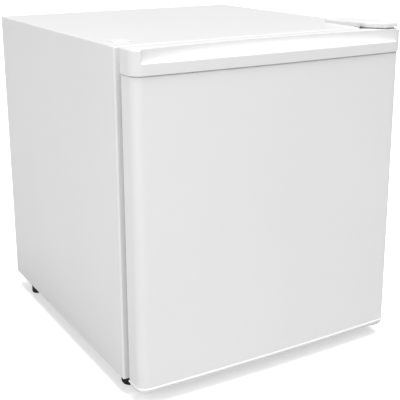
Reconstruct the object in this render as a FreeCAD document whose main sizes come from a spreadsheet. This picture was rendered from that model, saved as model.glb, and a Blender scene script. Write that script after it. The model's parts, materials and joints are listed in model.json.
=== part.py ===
import FreeCAD, Part
import math
import os
import re

import Sketcher

# Table-top compression refrigerator with one reversible door and a small icebox.
# Row frame: +X to the right of someone facing the door, +Y to the back, +Z up, floor at Z = 0.
# Everything is drawn with the cabinet's front plane at Y = 0; each sub-part's Placement then moves it
# by cabinet_shift, so that the origin is under the middle of the whole fridge.

DIMS = {
    # cabinet
    "cab_w": 440.0, "cab_d": 446.0, "cab_top": 482.0, "cab_bottom": 26.0, "cabinet_shift": -204.5,
    "sheet": 1.2, "fold_r": 2.5, "front_fold": 30.0, "rear_fold": 12.0, "rear_recess": 10.0,
    "rail_top": 58.0,
    # liner and cavity
    "liner_t": 2.0, "cavity_w": 362.0, "cavity_bottom": 66.0, "cavity_top": 446.0, "cavity_d": 398.0,
    "corner_r": 12.0, "liner_rim": 25.0, "hump_front": 252.0, "hump_top": 208.0, "bay_front": 285.0,
    "bay_top": 176.0,
    # door
    "door_w": 430.0, "door_gap": 9.5, "door_t": 33.5, "door_bow": 4.0, "door_r": 13.0, "steel_t": 0.8,
    "panel_bottom": 29.0, "panel_top": 462.0, "cap_over": 2.0, "cap_bottom": 449.3, "cap_top": 481.2,
    "scoop_w": 409.0, "scoop_deep": 24.0, "scoop_shallow": 4.0, "scoop_h": 16.6,
    "lip_h": 2.8, "band_bottom": 20.4, "band_set": 0.6,
    "hinge_x": 200.0, "hinge_y": -26.0, "pin_r": 4.0, "pin_fit": 0.06, "bush_r": 6.5,
    "screw_hole_r": 3.3, "screw_r": 3.25, "screw_head_r": 5.0,
    # hinge cover, in plan and height
    "cover_x0": 174.0, "cover_x1": 218.5, "cover_y0": -36.0, "cover_y1": 86.0, "nose_x": 20.0, "nose_y": 26.0,
    "cover_h": 9.5, "cover_fall": 4.0, "cover_lift": 1.6, "cover_wall": 1.5,
    # door liner, racks and gasket
    "pan_w": 344.0, "pan_bottom": 72.0, "pan_top": 440.0, "pan_y": 3.0, "dyke_y": 20.0, "dyke_w": 22.0,
    "gasket_w": 418.0, "gasket_low": 36.0, "gasket_high": 475.0, "gasket_face": 0.4, "lip_in": 7.5,
    "rack_w": 299.8, "rack_y": 72.0, "rack_t": 2.4, "low_rack": 88.0, "low_rack_top": 152.0,
    "up_rack": 246.0, "up_rack_top": 296.0,
    # icebox, tray and shelf
    "ice_x0": -170.0, "ice_x1": 85.0, "ice_y0": 136.0, "ice_y1": 372.0, "ice_z0": 340.0, "ice_z1": 434.0,
    "ice_t": 1.5, "flap_t": 3.0, "flap_axis_y": 125.0, "flap_axis_z": 431.0, "tray_bottom": 308.0,
    "shelf_z": 214.0, "shelf_y0": 96.0, "shelf_y1": 386.0, "shelf_w": 348.0, "wire_r": 1.6, "rim_r": 2.5,
    # thermostat
    "stat_x": 143.0, "stat_z": 416.0, "stat_y": 150.0, "knob_r": 17.0, "knob_h": 15.0,
    # feet
    "foot_x": 194.0, "foot_y": 32.0, "foot_r": 14.0, "foot_h": 21.0, "stud_r": 4.0,
    "rear_foot_x": 202.0, "rear_foot_y": 394.0, "rear_foot_r": 9.0,
    # cooling unit
    "tube_r": 2.4, "grid_y": 454.0, "grid_top": 460.0, "grid_pitch": 30.0, "grid_x": 165.0,
    "grid_wire_r": 0.8, "riser_x": 196.0,
    "comp_x": 50.0, "comp_y": 366.0, "comp_r": 54.0, "comp_z": 38.0, "comp_h": 122.0,
    "comp_foot_x": 74.0, "comp_foot_y": 40.0,
}
PASSES = 9
GRID_WIRES = 31
SHELF_WIRES = 23
SCOOP_STEPS = 4

# places that more than one sub-part shares, as expressions
COMP_FEET = [(f"{a}comp_foot_x", f"{b}comp_foot_y") for a in ("-", "") for b in ("-", "")]
TOP_SCREWS = [("hinge_x - 16", "14"), ("hinge_x + 6", "14"), ("hinge_x - 5", "40")]
LOW_SCREWS = [("hinge_x - 34", "18"), ("hinge_x - 34", "44")]
GRID_CLIPS = [(f"{sign}(grid_x + 7)", f"grid_top - {n} * grid_pitch") for sign in ("-", "") for n in (1, 6)]
ICE_HANGERS = [(x, y) for x in ("ice_x0 + 30", "ice_x1 - 30") for y in ("ice_y0 + 40", "ice_y1 - 40")]

doc = FreeCAD.newDocument("table_top_fridge")
sheet = doc.addObject("Spreadsheet::Sheet", "dim")
for row, (alias, number) in enumerate(DIMS.items(), start=1):
    sheet.set(f"A{row}", alias)
    sheet.set(f"B{row}", str(number))
    sheet.setAlias(f"B{row}", alias)
doc.recompute()

V = FreeCAD.Vector
ALONG = {"x": V(1, 0, 0), "y": V(0, 1, 0), "z": V(0, 0, 1)}
TURN = {
    "x": FreeCAD.Rotation(V(0, 1, 0), 90),
    "y": FreeCAD.Rotation(V(1, 0, 0), -90),
    "z": FreeCAD.Rotation(),
}
subparts = []


# ---------------------------------------------------------------- helpers: sizes
def cells(text):
    """An expression over the sheet's aliases, with each alias written as dim.alias."""
    return re.sub(r"[a-z]\w*", lambda word: "dim." + word[0] if word[0] in DIMS else word[0], str(text))


def value(text):
    return float(sheet.evalExpression(cells(text)))


def bind(obj, **sizes):
    """Bind properties to expressions; x, y and z mean the placement's position."""
    for prop, text in sizes.items():
        path = "Placement.Base." + prop if prop in ALONG else prop
        obj.setExpression(path, cells(text))
    return obj


def subpart(label, obj):
    """Name an object as a sub-part and move it from the bench frame to the row frame."""
    obj.Label = label
    bound = dict(obj.ExpressionEngine)
    place = bound.get("Placement.Base.y", bound.get(".Placement.Base.y", "0"))
    obj.setExpression("Placement.Base.y", f"{place} + dim.cabinet_shift")
    subparts.append(obj)
    return obj


# ---------------------------------------------------------------- helpers: primitives and booleans
def box(name, x, y, z):
    """A block between pairs of expressions."""
    block = doc.addObject("Part::Box", name)
    spans = zip(("Length", "Width", "Height"), (x, y, z))
    sizes = {prop: f"({high}) - ({low})" for prop, (low, high) in spans}
    return bind(block, x=x[0], y=y[0], z=z[0], **sizes)


def rod(name, axis, radius, length, at):
    """A cylinder that starts at a point and runs along +axis."""
    cylinder = doc.addObject("Part::Cylinder", name)
    cylinder.Placement = FreeCAD.Placement(V(), TURN[axis])
    return bind(cylinder, Radius=radius, Height=length, x=at[0], y=at[1], z=at[2])


def fuse(name, *pieces):
    joined = doc.addObject("Part::MultiFuse", name)
    joined.Shapes = list(pieces)
    joined.Refine = True
    return joined


def group(name, *pieces):
    """Separate solids of one kind, kept as one sub-part."""
    together = doc.addObject("Part::Compound", name)
    together.Links = list(pieces)
    return together


def cut(name, base, *tools):
    result = doc.addObject("Part::Cut", name)
    result.Base = base
    result.Tool = tools[0] if len(tools) == 1 else fuse(name + "_tools", *tools)
    result.Refine = True
    return result


def overlap(name, *pieces):
    """The space that all the pieces share."""
    shared = doc.addObject("Part::MultiCommon", name)
    shared.Shapes = list(pieces)
    shared.Refine = True
    return shared


def screw_holes(name, places, length, start):
    """Upright clearance holes at a list of screw places."""
    return [rod(f"{name}_{n}", "z", "screw_hole_r", length, (x, y, start)) for n, (x, y) in enumerate(places)]


def runs_along(edge, axis):
    if edge.Curve.TypeId != "Part::GeomLine":
        return False
    return abs(edge.tangentAt(edge.FirstParameter).dot(ALONG[axis])) > 0.99


def edge_names(shape, chosen):
    return [f"Edge{n}" for n, edge in enumerate(shape.Edges, start=1) if chosen(edge)]


def rounded(name, base, radius, chosen):
    """Part::Fillet on the edges that a test picks."""
    doc.recompute()
    fillet = doc.addObject("Part::Fillet", name)
    fillet.Base = base
    size = value(radius)
    fillet.Edges = [(int(edge[4:]), size, size) for edge in edge_names(base.Shape, chosen)]
    return fillet


# ---------------------------------------------------------------- helpers: bodies from sketches
PLANES = {"z": "XY_Plane", "x": "YZ_Plane", "y": "XZ_Plane"}


def new_sketch(body, name, axis, start):
    """A sketch square to an axis. The XZ plane's own normal points along -Y."""
    sketch = body.newObject("Sketcher::SketchObject", name)
    plane = next(item for item in body.Origin.OriginFeatures if item.Role == PLANES[axis])
    sketch.AttachmentSupport = (plane, [""])
    sketch.MapMode = "FlatFace"
    sketch.setExpression("AttachmentOffset.Base.z", cells(start))
    return sketch


def pin(sketch, geometry, end, corner):
    """Tie one end of a line to a pair of expressions from the sketch's origin."""
    for kind, text in zip(("DistanceX", "DistanceY"), corner):
        row = sketch.addConstraint(Sketcher.Constraint(kind, -1, 1, geometry, end, value(text)))
        sketch.setExpression(f"Constraints[{row}]", cells(text))


def closed_outline(sketch, corners):
    """Straight lines from corner to corner, joined end to start and tied to their expressions."""
    points = [V(value(a), value(b), 0) for a, b in corners]
    following = points[1:] + points[:1]
    for here, after in zip(points, following):
        sketch.addGeometry(Part.LineSegment(here, after), False)
    for index, corner in enumerate(corners):
        sketch.addConstraint(Sketcher.Constraint("Coincident", index, 2, (index + 1) % len(corners), 1))
        pin(sketch, index, 1, corner)


def pad(body, sketch, length):
    feature = body.newObject("PartDesign::Pad", "pad")
    feature.Profile = sketch
    feature.setExpression("Length", cells(length))
    return feature


def fillet(body, radius, chosen):
    doc.recompute()
    base = body.Tip
    feature = body.newObject("PartDesign::Fillet", "rounding")
    feature.Base = (base, edge_names(base.Shape, chosen))
    feature.setExpression("Radius", cells(radius))
    return feature


def prism(name, axis, corners, low, high):
    """A straight-sided outline padded from low to high along an axis."""
    body = doc.addObject("PartDesign::Body", name)
    start = f"-({high})" if axis == "y" else low
    sketch = new_sketch(body, "outline", axis, start)
    closed_outline(sketch, corners)
    pad(body, sketch, f"({high}) - ({low})")
    return body


def bowed(name, grow, back, low, high):
    """The door's plan outline, wider by grow on its front and sides: flat back, bowed front."""
    body = doc.addObject("PartDesign::Body", name)
    sketch = new_sketch(body, "plan", "z", low)
    half = f"(door_w / 2 + {grow})"
    front = f"(-door_gap - door_t - {grow})"
    corners = [(f"-{half}", back), (half, back), (half, front), (f"-{half}", front)]
    points = [V(value(a), value(b), 0) for a, b in corners]
    crown = V(0, points[2].y - value("door_bow"), 0)
    sketch.addGeometry(Part.LineSegment(points[0], points[1]), False)
    sketch.addGeometry(Part.LineSegment(points[1], points[2]), False)
    sketch.addGeometry(Part.Arc(points[2], crown, points[3]), False)
    sketch.addGeometry(Part.LineSegment(points[3], points[0]), False)
    # the arc runs anticlockwise, so its start is its left end
    for first, first_end, second, second_end in ((0, 2, 1, 1), (1, 2, 2, 2), (2, 1, 3, 1), (3, 2, 0, 1)):
        sketch.addConstraint(Sketcher.Constraint("Coincident", first, first_end, second, second_end))
    for geometry, end, corner in ((0, 1, 0), (1, 1, 1), (1, 2, 2), (3, 1, 3)):
        pin(sketch, geometry, end, corners[corner])
    curve = f"({half} * {half} + door_bow * door_bow) / (2 * door_bow)"
    row = sketch.addConstraint(Sketcher.Constraint("Radius", 2, value(curve)))
    sketch.setExpression(f"Constraints[{row}]", cells(curve))
    pad(body, sketch, f"({high}) - ({low})")
    fillet(body, f"door_r + {grow}",
           lambda edge: runs_along(edge, "z") and edge.CenterOfMass.y < points[2].y + 1)
    return body


def revolved(name, profile, at):
    """A turned piece: (radius, height) corners turned about a vertical axis through a point."""
    body = doc.addObject("PartDesign::Body", name)
    sketch = new_sketch(body, "half_section", "y", "0")
    closed_outline(sketch, profile)
    turn = body.newObject("PartDesign::Revolution", "turn")
    turn.Profile = sketch
    turn.ReferenceAxis = (sketch, ["V_Axis"])
    turn.Angle = 360.0
    return bind(body, x=at[0], y=at[1], z=at[2])


def pipe_path(points, bend):
    """Straight runs with a tangent arc of one radius at each inner point."""
    edges, start = [], points[0]
    for here, after in zip(points[1:-1], points[2:]):
        arrive, leave = (here - start).normalize(), (after - here).normalize()
        reach = bend * ((1 - arrive.dot(leave)) / (1 + arrive.dot(leave))) ** 0.5
        first, last = here - arrive * reach, here + leave * reach
        inward = (leave - arrive).normalize()
        middle = here + inward * ((bend ** 2 + reach ** 2) ** 0.5 - bend)
        edges += [Part.LineSegment(start, first).toShape(), Part.Arc(first, middle, last).toShape()]
        start = last
    edges.append(Part.LineSegment(start, points[-1]).toShape())
    return edges


def tube(name, radius, points, bend):
    """A round bar or pipe swept along a path of runs and arcs."""
    spine = doc.addObject("Part::Feature", name + "_path")
    spine.Shape = Part.Wire(pipe_path([V(*(value(c) for c in point)) for point in points], value(bend)))
    start = spine.Shape.Edges[0]
    heading = FreeCAD.Rotation(V(0, 0, 1), start.tangentAt(start.FirstParameter))
    ring = doc.addObject("Part::Circle", name + "_section")
    bind(ring, Radius=radius)
    ring.Placement = FreeCAD.Placement(start.valueAt(start.FirstParameter), heading)
    sweep = doc.addObject("Part::Sweep", name)
    sweep.Sections = [ring]
    sweep.Spine = (spine, [f"Edge{n + 1}" for n in range(len(spine.Shape.Edges))])
    sweep.Solid = True
    return sweep


def screw(name, axis_point, head_r, head_h, shank_r, shank_l):
    """A pan-head screw standing on its axis point, its shank running down."""
    x, y, z = axis_point
    head = rod(name + "_head", "z", head_r, head_h, (x, y, z))
    shank = rod(name + "_shank", "z", shank_r, shank_l, (x, y, f"({z}) - ({shank_l})"))
    return fuse(name, head, shank)


# ---------------------------------------------------------------- cabinet shell
HALF = "cab_w / 2"
SIDES = (("left", "-"), ("right", ""))


def mirrored_x(low, high):
    """The left-hand and right-hand spans of one measure from the middle."""
    return (f"-({high})", f"-({low})"), (low, high)


def outer_wrap():
    """Painted steel sheet folded over the top and both sides, turned in at the front and back."""
    block = box("wrap_block", (f"-{HALF}", HALF), ("0", "cab_d"), ("cab_bottom", "cab_top"))
    folds = rounded(
        "wrap_folds", block, "fold_r",
        lambda edge: (runs_along(edge, "y") and edge.CenterOfMass.z > value("cab_top") - 1)
        or (edge.CenterOfMass.y < 1 and edge.CenterOfMass.z > value("cab_bottom") + 1),
    )
    inside = (f"-{HALF} + sheet", f"{HALF} - sheet")
    room = box("wrap_room", inside, ("sheet", "cab_d - sheet"), ("cab_bottom - 1", "cab_top - sheet"))
    across = (f"-{HALF} + front_fold", f"{HALF} - front_fold")
    window = box("wrap_window", across, ("-1", "sheet + 1"), ("cab_bottom - 1", "cab_top - front_fold + 2"))
    across = (f"-{HALF} + rear_fold", f"{HALF} - rear_fold")
    rear = box("wrap_rear", across, ("cab_d - sheet - 1", "cab_d + 1"),
               ("cab_bottom - 1", "cab_top - rear_fold"))
    holes = screw_holes("wrap_hole", TOP_SCREWS, "10", "cab_top - 5")
    return subpart("outer_wrap", cut("wrap", folds, room, window, rear, *holes))


def stud_bores(name):
    """Running-fit bores for the two levelling studs."""
    return [rod(f"{name}_{side}", "z", "stud_r + pin_fit", "20", (f"{sign}foot_x", "foot_y", "cab_bottom - 5"))
            for side, sign in SIDES]


def floor_pieces():
    """Bottom pan, front rail, and the plate that carries the compressor."""
    inside = (f"-{HALF} + sheet + 0.2", f"{HALF} - sheet - 0.2")
    pan = box("pan_sheet", inside, ("sheet", "bay_front"), ("cab_bottom", "cab_bottom + sheet"))
    holes = stud_bores("pan_hole") + screw_holes("pan_screw_hole", LOW_SCREWS, "10", "cab_bottom - 5")
    subpart("bottom_pan", cut("bottom_pan", pan, *holes))
    across = (f"-{HALF} + front_fold + 0.2", f"{HALF} - front_fold - 0.2")
    face = box("rail_face", across, ("0", "sheet"), ("cab_bottom", "rail_top"))
    foot = box("rail_foot", across, ("0", "14"), ("cab_bottom + sheet", "cab_bottom + 2 * sheet"))
    subpart("front_rail", fuse("front_rail", face, foot))
    plate = box("plate_sheet", inside, ("bay_front + 1.5", "cab_d - 6"), ("cab_bottom", "cab_bottom + 2"))
    lip = box("plate_lip", inside, ("cab_d - 8", "cab_d - 6"), ("cab_bottom", "cab_bottom + 26"))
    bores = [
        rod(f"plate_bore_{n}", "z", "4.5", "20", (f"comp_x + ({dx})", f"comp_y + ({dy})", "cab_bottom - 5"))
        for n, (dx, dy) in enumerate(COMP_FEET)
    ]
    gland_bore = rod("gland_bore", "y", "5.2", "20", ("-70", "cab_d - 15", "cab_bottom + 14"))
    subpart("compressor_plate", cut("compressor_plate", fuse("plate_bent", plate, lip), *bores, gland_bore))


def back_panel():
    """One sheet: the flat back, the ceiling of the compressor bay and the bay's front wall."""
    plane = "cab_d - rear_recess"
    high, low = "cab_top - sheet - 0.3", "cab_bottom + 0.2"
    corners = [
        (plane, high), (f"{plane} - 1", high), (f"{plane} - 1", "bay_top + 1"), ("bay_front", "bay_top + 1"),
        ("bay_front", low), ("bay_front + 1", low), ("bay_front + 1", "bay_top"), (plane, "bay_top"),
    ]
    sheet_end = f"{HALF} - sheet - 0.3"
    subpart("back_panel", prism("back_panel", "x", corners, f"-({sheet_end})", sheet_end))


def liner_outside():
    """The solid that the cabinet liner's outer surface bounds."""
    half = "cavity_w / 2 + liner_t"
    shell = box("liner_shell", (f"-({half})", half), ("sheet", "cavity_d + liner_t"),
                ("cavity_bottom - liner_t", "cavity_top + liner_t"))
    shell = rounded("liner_shell_round", shell, "corner_r + liner_t", cavity_edge)
    below = box("hump_below", (f"-({half}) - 1", f"{half} + 1"), ("hump_front + liner_t", "cavity_d + 20"),
                ("cavity_bottom - 20", "hump_top - liner_t"))
    return cut("liner_outer", shell, below)


def cavity_edge(edge):
    """The long edges that run from the mouth to the back, and those around the back."""
    return runs_along(edge, "y") or edge.CenterOfMass.y > value("cavity_d") - 1


def inner_liner(outside):
    """Vacuum-formed plastic tub with the step over the compressor and ledges for the shelf."""
    half = "cavity_w / 2"
    room = box("cavity_room", (f"-{half}", half), ("-5", "cavity_d"), ("cavity_bottom", "cavity_top"))
    room = rounded("cavity_round", room, "corner_r", cavity_edge)
    step = box("hump_block", (f"-{half} - 1", f"{half} + 1"), ("hump_front", "cavity_d + 20"),
               ("cavity_bottom - 20", "hump_top"))
    cavity = cut("cavity", room, step)
    rim = box("liner_rim", (f"-{half} - liner_rim", f"{half} + liner_rim"), ("sheet", "sheet + liner_t"),
              ("cavity_bottom - 14", "cavity_top + 22"))
    shell = cut("liner_wall", fuse("liner_blank", outside, rim), cavity)
    ledges = []
    for level, (low, high) in {"low": ("-8", "-2.8"), "high": ("2.8", "7")}.items():
        for side, span in zip("lr", mirrored_x(f"{half} - 10", half)):
            ledges.append(box(f"ledge_{level}_{side}", span, ("shelf_y0 - 20", "cavity_d - 12"),
                              (f"shelf_z + ({low})", f"shelf_z + ({high})")))
    return subpart("inner_liner", fuse("inner_liner", shell, *ledges))


def foam_insulation(outside):
    """Rigid foam that fills the space between the steel and the liner."""
    half = "cavity_w / 2"
    block = box("foam_block", (f"-{HALF} + sheet + 0.3", f"{HALF} - sheet - 0.3"),
                ("sheet + liner_t + 0.1", "cab_d - rear_recess - 1.1"),
                ("cab_bottom + 3.5", "cab_top - sheet - 0.3"))
    bay = box("foam_bay", (f"-{HALF}", HALF), ("bay_front - 0.1", "cab_d"), ("0", "bay_top + 1.1"))
    cavity = box("foam_cavity", (f"-{half} + 3", f"{half} - 3"), ("-5", "cavity_d - 5"),
                 ("hump_top + 5", "cavity_top - 5"))
    pockets = [rod(f"foam_pocket_{side}", "z", "9.5", "20", (f"{sign}foot_x", "foot_y", "cab_bottom"))
               for side, sign in SIDES]
    bolts = screw_holes("foam_screw", TOP_SCREWS, "20", "cab_top - 19")
    bolts += screw_holes("foam_low_screw", LOW_SCREWS, "20", "cab_bottom + 1")
    tools = [outside, cavity, bay] + pockets + bolts
    return subpart("foam_insulation", cut("foam_insulation", block, *tools))


# ---------------------------------------------------------------- cooling unit
def compressor():
    """Hermetic shell with a weld seam, standing on four rubber grommets."""
    seam = "comp_z + 0.52 * comp_h"
    low = rod("comp_low", "z", "comp_r", "0.52 * comp_h", ("comp_x", "comp_y", "comp_z"))
    low = rounded("comp_low_round", low, "16", lambda edge: edge.CenterOfMass.z < value("comp_z") + 1)
    top = rod("comp_top", "z", "comp_r - 2.5", "0.48 * comp_h", ("comp_x", "comp_y", seam))
    crown = value("comp_z + comp_h")
    top = rounded("comp_top_round", top, "30", lambda edge: edge.CenterOfMass.z > crown - 1)
    ring = rod("comp_seam", "z", "comp_r + 2", "3.5", ("comp_x", "comp_y", f"{seam} - 3.5"))
    stub = rod("comp_stub", "z", "3.2", "12", ("comp_x - 20", "comp_y + 18", "comp_z + comp_h - 6"))
    subpart("compressor_shell", fuse("compressor_shell", low, top, ring, stub))
    feet = []
    for n, sign in enumerate(("-", "")):
        strip = box(f"comp_strip_{n}", ("comp_x - 88", "comp_x + 88"),
                    (f"comp_y + ({sign}comp_foot_y) - 13", f"comp_y + ({sign}comp_foot_y) + 13"),
                    ("comp_z - 3", "comp_z"))
        feet.append(strip)
    cross = box("comp_cross", ("comp_x - 30", "comp_x + 30"),
                ("comp_y - comp_foot_y", "comp_y + comp_foot_y"), ("comp_z - 3", "comp_z"))
    holes = []
    for n, (dx, dy) in enumerate(COMP_FEET):
        below = (f"comp_x + ({dx})", f"comp_y + ({dy})", "comp_z - 8")
        holes.append(rod(f"comp_foot_hole_{n}", "z", "6", "12", below))
    subpart("compressor_feet", cut("compressor_feet", fuse("comp_feet_blank", cross, *feet), *holes))
    base = "cab_bottom + 2"
    grommets, bolts = [], []
    for n, (dx, dy) in enumerate(COMP_FEET):
        at = (f"comp_x + ({dx})", f"comp_y + ({dy})", base)
        outer = rod(f"grommet_{n}_body", "z", "9", f"comp_z - 3 - ({base})", at)
        neck = rod(f"grommet_{n}_neck", "z", "5.9", f"comp_z + 3 - ({base})", at)
        bore = rod(f"grommet_{n}_bore", "z", "3.6", "40", (at[0], at[1], f"{base} - 5"))
        grommets.append(cut(f"grommet_{n}", fuse(f"grommet_{n}_blank", outer, neck), bore))
        bolts.append(screw(f"comp_bolt_{n}", (at[0], at[1], "comp_z + 3"), "7.5", "4", "3.5", "20"))
    subpart("compressor_grommets", group("compressor_grommets", *grommets))
    subpart("compressor_bolts", group("compressor_bolts", *bolts))
    cover = box("relay_block", ("comp_x + comp_r - 8", "comp_x + comp_r + 30"),
                ("comp_y - 24", "comp_y + 24"), ("comp_z + 28", "comp_z + 84"))
    outer_end = value("comp_x + comp_r") + 25
    cover = rounded("relay_round", cover, "5", lambda edge: edge.CenterOfMass.x > outer_end)
    beside = rod("relay_shell_room", "z", "comp_r + 2.05", "comp_h", ("comp_x", "comp_y", "comp_z"))
    subpart("relay_cover", cut("relay_cover", cover, beside))
    flange = rod("gland_flange", "y", "8", "2.5", ("-70", "cab_d - 6", "cab_bottom + 14"))
    neck = rod("gland_neck", "y", "5", "6", ("-70", "cab_d - 10", "cab_bottom + 14"))
    bore = rod("gland_hole", "y", "3.6", "20", ("-70", "cab_d - 15", "cab_bottom + 14"))
    subpart("cord_gland", cut("cord_gland", fuse("gland_blank", flange, neck), bore))


def condenser():
    """Steel tube folded into level passes, with upright wires welded on both faces."""
    last = f"grid_top - {PASSES - 1} * grid_pitch"
    points = [("riser_x", "grid_y", "150"), ("riser_x", "grid_y", "grid_top")]
    ends = ("-(grid_x + 15)", "grid_x + 15")
    for n in range(PASSES):
        level = f"grid_top - {n} * grid_pitch"
        side = ends[n % 2]
        if n < PASSES - 1:  # an odd number of passes ends on the left
            points += [(side, "grid_y", level), (side, "grid_y", f"{level} - grid_pitch")]
    points += [(ends[0], "grid_y", last), (ends[0], "grid_y", "150")]
    subpart("condenser_tube", tube("condenser_tube", "tube_r", points, "grid_pitch / 2 - 0.05"))
    wires, wire_length = [], f"{PASSES - 1} * grid_pitch + 24"
    for face, sign in (("front", "-"), ("rear", "+")):
        for n in range(GRID_WIRES):
            x = f"-grid_x + {n} * (2 * grid_x) / {GRID_WIRES - 1}"
            foot = (x, f"grid_y {sign} (tube_r + grid_wire_r)", f"{last} - 12")
            wires.append(rod(f"wire_{face}_{n}", "z", "grid_wire_r", wire_length, foot))
    subpart("condenser_wires", group("condenser_wires", *wires))
    clips = []
    reach = ("cab_d - rear_recess + 0.05", "grid_y - tube_r - 0.05")
    for n, (x, z) in enumerate(GRID_CLIPS):
        clips.append(box(f"clip_{n}", (f"({x}) - 5", f"({x}) + 5"), reach, (f"({z}) - 9", f"({z}) + 9")))
    subpart("condenser_clips", group("condenser_clips", *clips))
    valve = "comp_z + 95"
    below_grid = "grid_y - 0.01"
    hot = [("comp_x + 12", "comp_y + 46", valve), ("comp_x + 12", "comp_y + 66", valve),
           ("riser_x", "comp_y + 66", valve), ("riser_x", below_grid, valve), ("riser_x", below_grid, "149.9")]
    subpart("discharge_pipe", tube("discharge_pipe", "tube_r", hot, "9"))
    dryer_x, dryer_y, dryer_z = "comp_x - 170", "comp_y + 20", "comp_z + 90"
    body = rod("dryer_body", "x", "8", "70", (dryer_x, dryer_y, dryer_z))
    subpart("filter_dryer", rounded("filter_dryer", body, "5", lambda edge: True))
    liquid = [(ends[0], "grid_y", "149.9"), (ends[0], "grid_y", dryer_z), (ends[0], dryer_y, dryer_z),
              (dryer_x, dryer_y, dryer_z)]
    subpart("liquid_pipe", tube("liquid_pipe", "tube_r", liquid, "9"))
    run_z = "comp_z + 118"
    cool = [("comp_x - 40", "comp_y - 30", "comp_z + 100"), ("comp_x - 62", "comp_y - 50", run_z),
            ("comp_x - 130", "comp_y - 50", run_z), ("comp_x - 130", "bay_front + 1.2", run_z)]
    subpart("suction_pipe", tube("suction_pipe", "3.2", cool, "12"))
    thin = [("comp_x - 100", dryer_y, dryer_z), ("comp_x - 80", dryer_y, dryer_z),
            ("comp_x - 80", "bay_front + 1.2", dryer_z)]
    subpart("capillary_tube", tube("capillary_tube", "1.0", thin, "10"))


# ---------------------------------------------------------------- feet
def feet():
    """Two levelling feet at the front, each with its threaded stud, and two fixed feet at the back."""
    for side, sign in SIDES:
        profile = [("0", "0"), ("foot_r - 2.5", "0"), ("foot_r - 1", "1.5"), ("foot_r", "foot_h - 4"),
                   ("foot_r - 2", "foot_h"), ("0", "foot_h")]
        at = (f"{sign}foot_x", "foot_y", "0")
        solid = revolved(f"foot_turned_{side}", profile, at)
        bore = rod(f"foot_bore_{side}", "z", "stud_r", "40", (at[0], at[1], "6"))
        subpart(f"front_foot_{side}", cut(f"front_foot_{side}_bored", solid, bore))
        stud = rod(f"stud_{side}", "z", "stud_r", "34", (at[0], at[1], "6"))
        subpart(f"foot_stud_{side}", stud)
        rear = [("0", "0"), ("rear_foot_r - 1.5", "0"), ("rear_foot_r", "1.5"),
                ("rear_foot_r", "cab_bottom - 3"), ("rear_foot_r - 1", "cab_bottom"), ("0", "cab_bottom")]
        at = (f"{sign}rear_foot_x", "rear_foot_y", "0")
        subpart(f"rear_foot_{side}", revolved(f"rear_turned_{side}", rear, at))
    nuts = []
    for (side, sign), bore in zip(SIDES, stud_bores("nut_bore")):
        nut = doc.addObject("Part::Prism", f"nut_{side}_blank")
        nut.Polygon = 6
        bind(nut, Circumradius="8", Height="6.5", x=f"{sign}foot_x", y="foot_y", z="cab_bottom + sheet")
        nuts.append(cut(f"nut_{side}", nut, bore))
    subpart("foot_nuts", group("foot_nuts", *nuts))


# ---------------------------------------------------------------- hinges
def hinges():
    """Top bracket under its cover, bottom bracket under the door, a pin on each."""
    top = "cab_top + 0.05"
    outline = [("hinge_x + 14", "hinge_y - 7"), ("hinge_x + 14", "54"), ("hinge_x - 23", "54"),
               ("hinge_x - 23", "hinge_y + 16.8"), ("hinge_x - 4.7", "hinge_y - 7")]
    plate = prism("top_plate", "z", outline, top, f"{top} + 2.5")
    fillet(plate, "7", lambda edge: runs_along(edge, "z"))
    holes = screw_holes("top_hole", TOP_SCREWS, "20", "cab_top - 5")
    subpart("top_hinge_bracket", cut("top_hinge_bracket", plate, *holes))
    pin = rod("top_pin", "z", "pin_r", f"({top}) - (cap_top - 15)", ("hinge_x", "hinge_y", "cap_top - 15"))
    subpart("top_hinge_pin", pin)
    screws = [screw(f"top_screw_{n}", (x, y, f"{top} + 2.5"), "screw_head_r", "2.0", "screw_r", "15")
              for n, (x, y) in enumerate(TOP_SCREWS)]
    low, high = "cab_bottom - 3.1", "cab_bottom - 0.1"
    arm_low, arm_high = "15.8", "18.4"
    corners = [("56", high), ("56", low), ("5.5", low), ("5.5", arm_low), ("-37", arm_low),
               ("-37", arm_high), ("2.5", arm_high), ("2.5", high)]
    bent = prism("low_bracket_bend", "x", corners, "hinge_x - 42", "hinge_x + 13")
    beside = box("low_arm_side", ("hinge_x - 50", "hinge_x - 12"), ("-50", "2.4"), ("10", "30"))
    bracket = rounded("low_bracket_round", cut("low_bracket_arm", bent, beside), "8",
                      lambda edge: runs_along(edge, "z") and edge.CenterOfMass.y < -30)
    stud_hole = rod("low_stud_hole", "z", "7", "20", ("foot_x", "foot_y", "cab_bottom - 10"))
    holes = screw_holes("low_hole", LOW_SCREWS, "20", "cab_bottom - 10")
    subpart("bottom_hinge_bracket", cut("bottom_hinge_bracket", bracket, stud_hole, *holes))
    subpart("bottom_hinge_pin", rod("bottom_pin", "z", "pin_r", "15", ("hinge_x", "hinge_y", arm_high)))
    for n, (x, y) in enumerate(LOW_SCREWS):
        head = rod(f"low_screw_head_{n}", "z", "screw_head_r", "3", (x, y, "cab_bottom - 6.1"))
        shank = rod(f"low_screw_shank_{n}", "z", "screw_r", "14", (x, y, "cab_bottom - 4"))
        screws.append(fuse(f"low_screw_{n}", head, shank))
    subpart("hinge_screws", group("hinge_screws", *screws))


def cover_form(name, inset, profile, corner_r):
    """The cover's plan, smaller by inset, with a slanted nose, under a side profile."""
    right, back, front, left = (f"cover_x1 - {inset}", f"cover_y1 - {inset}", f"cover_y0 + {inset}",
                                f"cover_x0 + {inset}")
    plan = [(right, front), (right, back), (left, back), (left, f"cover_y0 + nose_y + {inset} * 0.5"),
            (f"cover_x0 + nose_x + {inset} * 0.5", front)]
    body = prism(name + "_plan", "z", plan, "cab_top - 2", "cab_top + 12")
    fillet(body, corner_r, lambda edge: runs_along(edge, "z"))
    side = prism(name + "_side", "x", profile, "cover_x0 - 5", "cover_x1 + 5")
    return overlap(name, body, side)


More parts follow.
